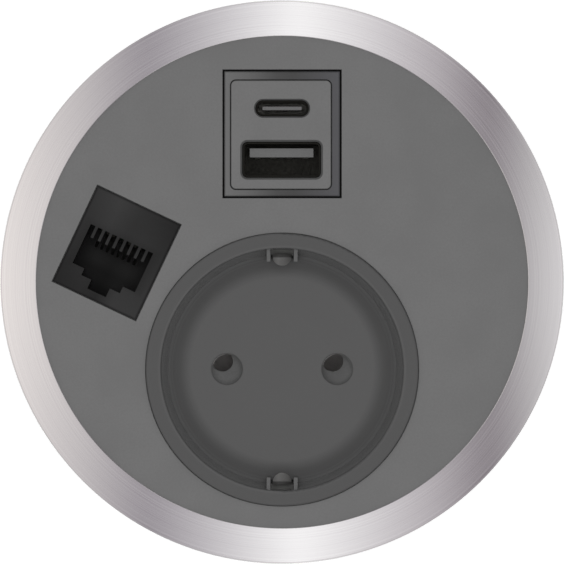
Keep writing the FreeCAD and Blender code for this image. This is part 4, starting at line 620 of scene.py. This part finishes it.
# Painted shade round the port's mouth.
port_middle_down = 0.9
port_half = (5.9, 3.1, 0.0)
port_shade_wide = 1.5
port_share = 0.72
from_port = add(jack_tree, "ShaderNodeVectorMath", {1: (0.0, port_middle_down, 0.0)},
                {0: jack_own.outputs[0]}, operation="ADD")
port_away = add(jack_tree, "ShaderNodeVectorMath", None, {0: from_port.outputs[0]}, operation="ABSOLUTE")
past_port = add(jack_tree, "ShaderNodeVectorMath", {1: port_half}, {0: port_away.outputs[0]},
                operation="SUBTRACT")
past_mm = add(jack_tree, "ShaderNodeSeparateXYZ", None, {0: past_port.outputs[0]})
port_near = add(jack_tree, "ShaderNodeMath", None, {0: past_mm.outputs["X"], 1: past_mm.outputs["Y"]},
                operation="MAXIMUM")
port_gap = add(jack_tree, "ShaderNodeMath", None, {0: port_near.outputs[0]}, operation="ABSOLUTE")
jack_painted_port_shade = add(jack_tree, "ShaderNodeMapRange", {"From Max": port_shade_wide, "To Min": port_share},
               {"Value": port_gap.outputs[0]})
# Painted shade, darker with depth.
inside_z = -1.0
front_z = 1.2
inside_share = 0.78
jack_painted_depth_shade = add(jack_tree, "ShaderNodeMapRange",
                 {"From Min": inside_z, "From Max": front_z, "To Min": inside_share},
                 {"Value": jack_mm.outputs["Z"]})
jack_painted_edge_and_port_shade = add(jack_tree, "ShaderNodeMath", None, {0: jack_painted_port_shade.outputs[0], 1: jack_painted_edge_shade.outputs[0]},
                 operation="MULTIPLY")
jack_painted_shade = add(jack_tree, "ShaderNodeMath", None, {0: jack_painted_depth_shade.outputs[0], 1: jack_painted_edge_and_port_shade.outputs[0]},
               operation="MULTIPLY")
jack_with_painted_shading = add(jack_tree, "ShaderNodeVectorMath", None,
                 {0: jack_painted_highlight.outputs[2], "Scale": jack_painted_shade.outputs[0]}, operation="SCALE")
tint(jack_nylon, flecked(jack_tree, jack_with_painted_shading.outputs[0], grain=0.5, spread=0.07))
dress(jack_nylon, "jack_housing", "jack_rear_housing")
dress(laminate_green, "jack_board")
# Painted light brightens the wires deep inside the port.
jack_bronze = black_nickel_with_painted_light("black_nickel_on_bronze", "#848480", "#2c2c29", low=-2.0, high=0.8)
dress(jack_bronze, "jack_contact_rails", "jack_contact_springs", "jack_rear_contact_rails",
      "jack_rear_contact_springs")

# Inlet: the socket for the supply lead under the module, moulded in black nylon with a slight
# grain, round three tinned brass pins.
inlet_nylon = moulded("moulded_inlet_nylon", "#1e1e1f", "#262627", rough=0.45, grain=0.5, relief=0.02)
dress(inlet_nylon, "inlet_housing")
dress(tinned_brass, "inlet_pins")

# Leads: stranded copper in soft PVC jackets, smooth with a wax-like shine, laid from the inlet to
# the contacts and the charger. The live and charger leads are brown and the neutral one is blue,
# and the earth lead has its green and yellow stripes.
live_pvc = moulded("brown_pvc_jacket", "#553424", "#613d2b", rough=0.4, grain=0.6, relief=0.01)
dress(live_pvc, "live_lead", "charger_leads")
neutral_pvc = moulded("blue_pvc_jacket", "#1f4a86", "#295797", rough=0.4, grain=0.6, relief=0.01)
dress(neutral_pvc, "neutral_lead")
stripe_mm = 3.0
# A diagonal wave of scale one repeats after this many metres.
wave_length = math.tau / 10 / math.sqrt(3)
earth_pvc = moulded("green_and_yellow_pvc_jacket", "#3d7a35", "#4b8a3f", rough=0.4, grain=0.6, relief=0.01)
earth_tree = earth_pvc.node_tree
stripes = add(earth_tree, "ShaderNodeTexWave", {"Scale": wave_length * 1000 / stripe_mm},
              {"Vector": add(earth_tree, "ShaderNodeTexCoord").outputs["Object"]},
              bands_direction="DIAGONAL")
earth_tone = add(earth_tree, "ShaderNodeValToRGB", None, {0: stripes.outputs["Fac"]},
                 stops=[(0.45, "#44823a"), (0.55, "#c9b52c")])
tint(earth_pvc, earth_tone.outputs["Color"])
dress(earth_pvc, "earth_lead")

# Face plate: the round grey top that the socket, charger and jack come up through, moulded in
# polycarbonate with an even satin finish. Four hooks under it snap into the housing.
plate_grey = moulded("satin_polycarbonate_plate", "#6d6d6d", "#717171",
                     rough=0.5, grain=0.35, relief=0.004, shine=0.25)
dress(plate_grey, "face_plate")

# Bezel ring: turned from stainless steel and satin polished round its axis, so it carries fine
# concentric lines and mirrors the room softly. Its outer edge is evenly rounded, and four pegs
# under it locate it in the flange.
# Real polishing lines are finer. These are as coarse as they need to be to show.
line_mm = 0.3
turned_steel = bpy.data.materials.new("satin_stainless_steel")
turned_steel.use_nodes = True
steel_tree = turned_steel.node_tree
steel_skin = steel_tree.nodes["Principled BSDF"]
steel_place = add(steel_tree, "ShaderNodeTexCoord").outputs["Object"]
flat = add(steel_tree, "ShaderNodeVectorMath", {1: (1.0, 1.0, 0.0)}, {0: steel_place}, operation="MULTIPLY")
radius = add(steel_tree, "ShaderNodeVectorMath", None, {0: flat.outputs[0]}, operation="LENGTH")
ring_lines = add(steel_tree, "ShaderNodeTexNoise", {"Scale": 1000 / line_mm, "Detail": 2.0},
                 {"W": radius.outputs["Value"]}, noise_dimensions="1D")
ring_worn = add(steel_tree, "ShaderNodeMapRange", {"To Min": 0.05, "To Max": 0.11},
                {"Value": ring_lines.outputs["Fac"]})
ring_tone = add(steel_tree, "ShaderNodeValToRGB", None, {0: ring_lines.outputs["Fac"]},
                stops=[(0.3, "#f7f5f6"), (0.7, "#fefdfd")])
steel_skin.inputs["Metallic"].default_value = 1.0
tint(turned_steel, ring_tone.outputs["Color"])
steel_tree.links.new(ring_worn.outputs[0], steel_skin.inputs["Roughness"])

ring_sides = 360
ring_inner_r = 42.17
lip_outer_r = 43.7
skirt_inner_r = 47.0
ring_outer_r = 48.25
seat_z = 1.2
lip_z = 2.4
ring_top_z = 3.0
ring_round = 0.45
round_steps = 10
inner_bevel = 0.1
shade_band = 0.05
# Radius and height in mm: a lip over the plate's edge, the seat on the flange, a skirt down to the
# desk, and up its outside. Narrow bands beside the rounding and the bevel keep the flat sides flat.
ring_profile = [(ring_inner_r, lip_z), (lip_outer_r, lip_z), (lip_outer_r, seat_z),
                (skirt_inner_r, seat_z), (skirt_inner_r, 0.0), (ring_outer_r, 0.0),
                (ring_outer_r, ring_top_z - ring_round - 2 * shade_band)]
for step in range(round_steps + 1):
    lean = math.pi / 2 * step / round_steps
    ring_profile.append((ring_outer_r - ring_round + ring_round * math.cos(lean),
                         ring_top_z - ring_round + ring_round * math.sin(lean)))
ring_profile += [(ring_outer_r - ring_round - shade_band, ring_top_z),
                 (ring_inner_r + inner_bevel + shade_band, ring_top_z),
                 (ring_inner_r + inner_bevel, ring_top_z),
                 (ring_inner_r, ring_top_z - inner_bevel)]
ring_corners = len(ring_profile)
ring_points = []
for number in range(ring_sides):
    turn = math.tau * number / ring_sides
    for away, high in ring_profile:
        ring_points.append((away * math.cos(turn) / 1000, away * math.sin(turn) / 1000, high / 1000))
ring_faces = []
for number in range(ring_sides):
    here = number * ring_corners
    beside = (number + 1) % ring_sides * ring_corners
    for corner in range(ring_corners):
        after = (corner + 1) % ring_corners
        ring_faces.append((here + corner, beside + corner, beside + after, here + after))

peg_count = 4
peg_away = 45.25
peg_sides = 24
# Radius and height in mm, from a peg's bevelled tip up into the ring.
peg_rings = [(0.75, 0.2), (0.9, 0.35), (0.9, 1.5)]
for peg in range(peg_count):
    peg_start = len(ring_points)
    peg_turn = math.tau * peg / peg_count
    for peg_r, high in peg_rings:
        for number in range(peg_sides):
            turn = math.tau * number / peg_sides
            ring_points.append(((peg_away * math.cos(peg_turn) + peg_r * math.cos(turn)) / 1000,
                                (peg_away * math.sin(peg_turn) + peg_r * math.sin(turn)) / 1000,
                                high / 1000))
    peg_top = peg_start + (len(peg_rings) - 1) * peg_sides
    ring_faces.append(tuple(reversed(range(peg_start, peg_start + peg_sides))))
    ring_faces.append(tuple(range(peg_top, peg_top + peg_sides)))
    for level in range(len(peg_rings) - 1):
        for number in range(peg_sides):
            here = peg_start + level * peg_sides + number
            beside = peg_start + level * peg_sides + (number + 1) % peg_sides
            ring_faces.append((here, beside, beside + peg_sides, here + peg_sides))

sharpest_turned = math.radians(25)
ring_mesh = bpy.data.meshes.new("turned_bezel")
ring_mesh.from_pydata(ring_points, [], ring_faces)
ring_mesh.shade_smooth()
ring_mesh.set_sharp_from_angle(angle=sharpest_turned)
ring_mesh.materials.append(turned_steel)
turned_bezel = bpy.data.objects.new("turned_bezel", ring_mesh)
scene.collection.objects.link(turned_bezel)
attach(turned_bezel, "root")
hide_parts("bezel_ring")

# Clamp: under the desk a black polyamide nut runs up the thread and presses a zinc-plated washer
# against the board. A dull pad of moulded rubber on the washer keeps it from marking the wood.
dress(housing_polyamide, "locking_nut")
dress(zinc_steel, "clamp_washer")
pad_rubber = moulded("moulded_clamp_rubber", "#1a1a1a", "#232323",
                     rough=0.7, grain=0.5, relief=0.03, shine=0.2)
dress(pad_rubber, "clamp_pad")
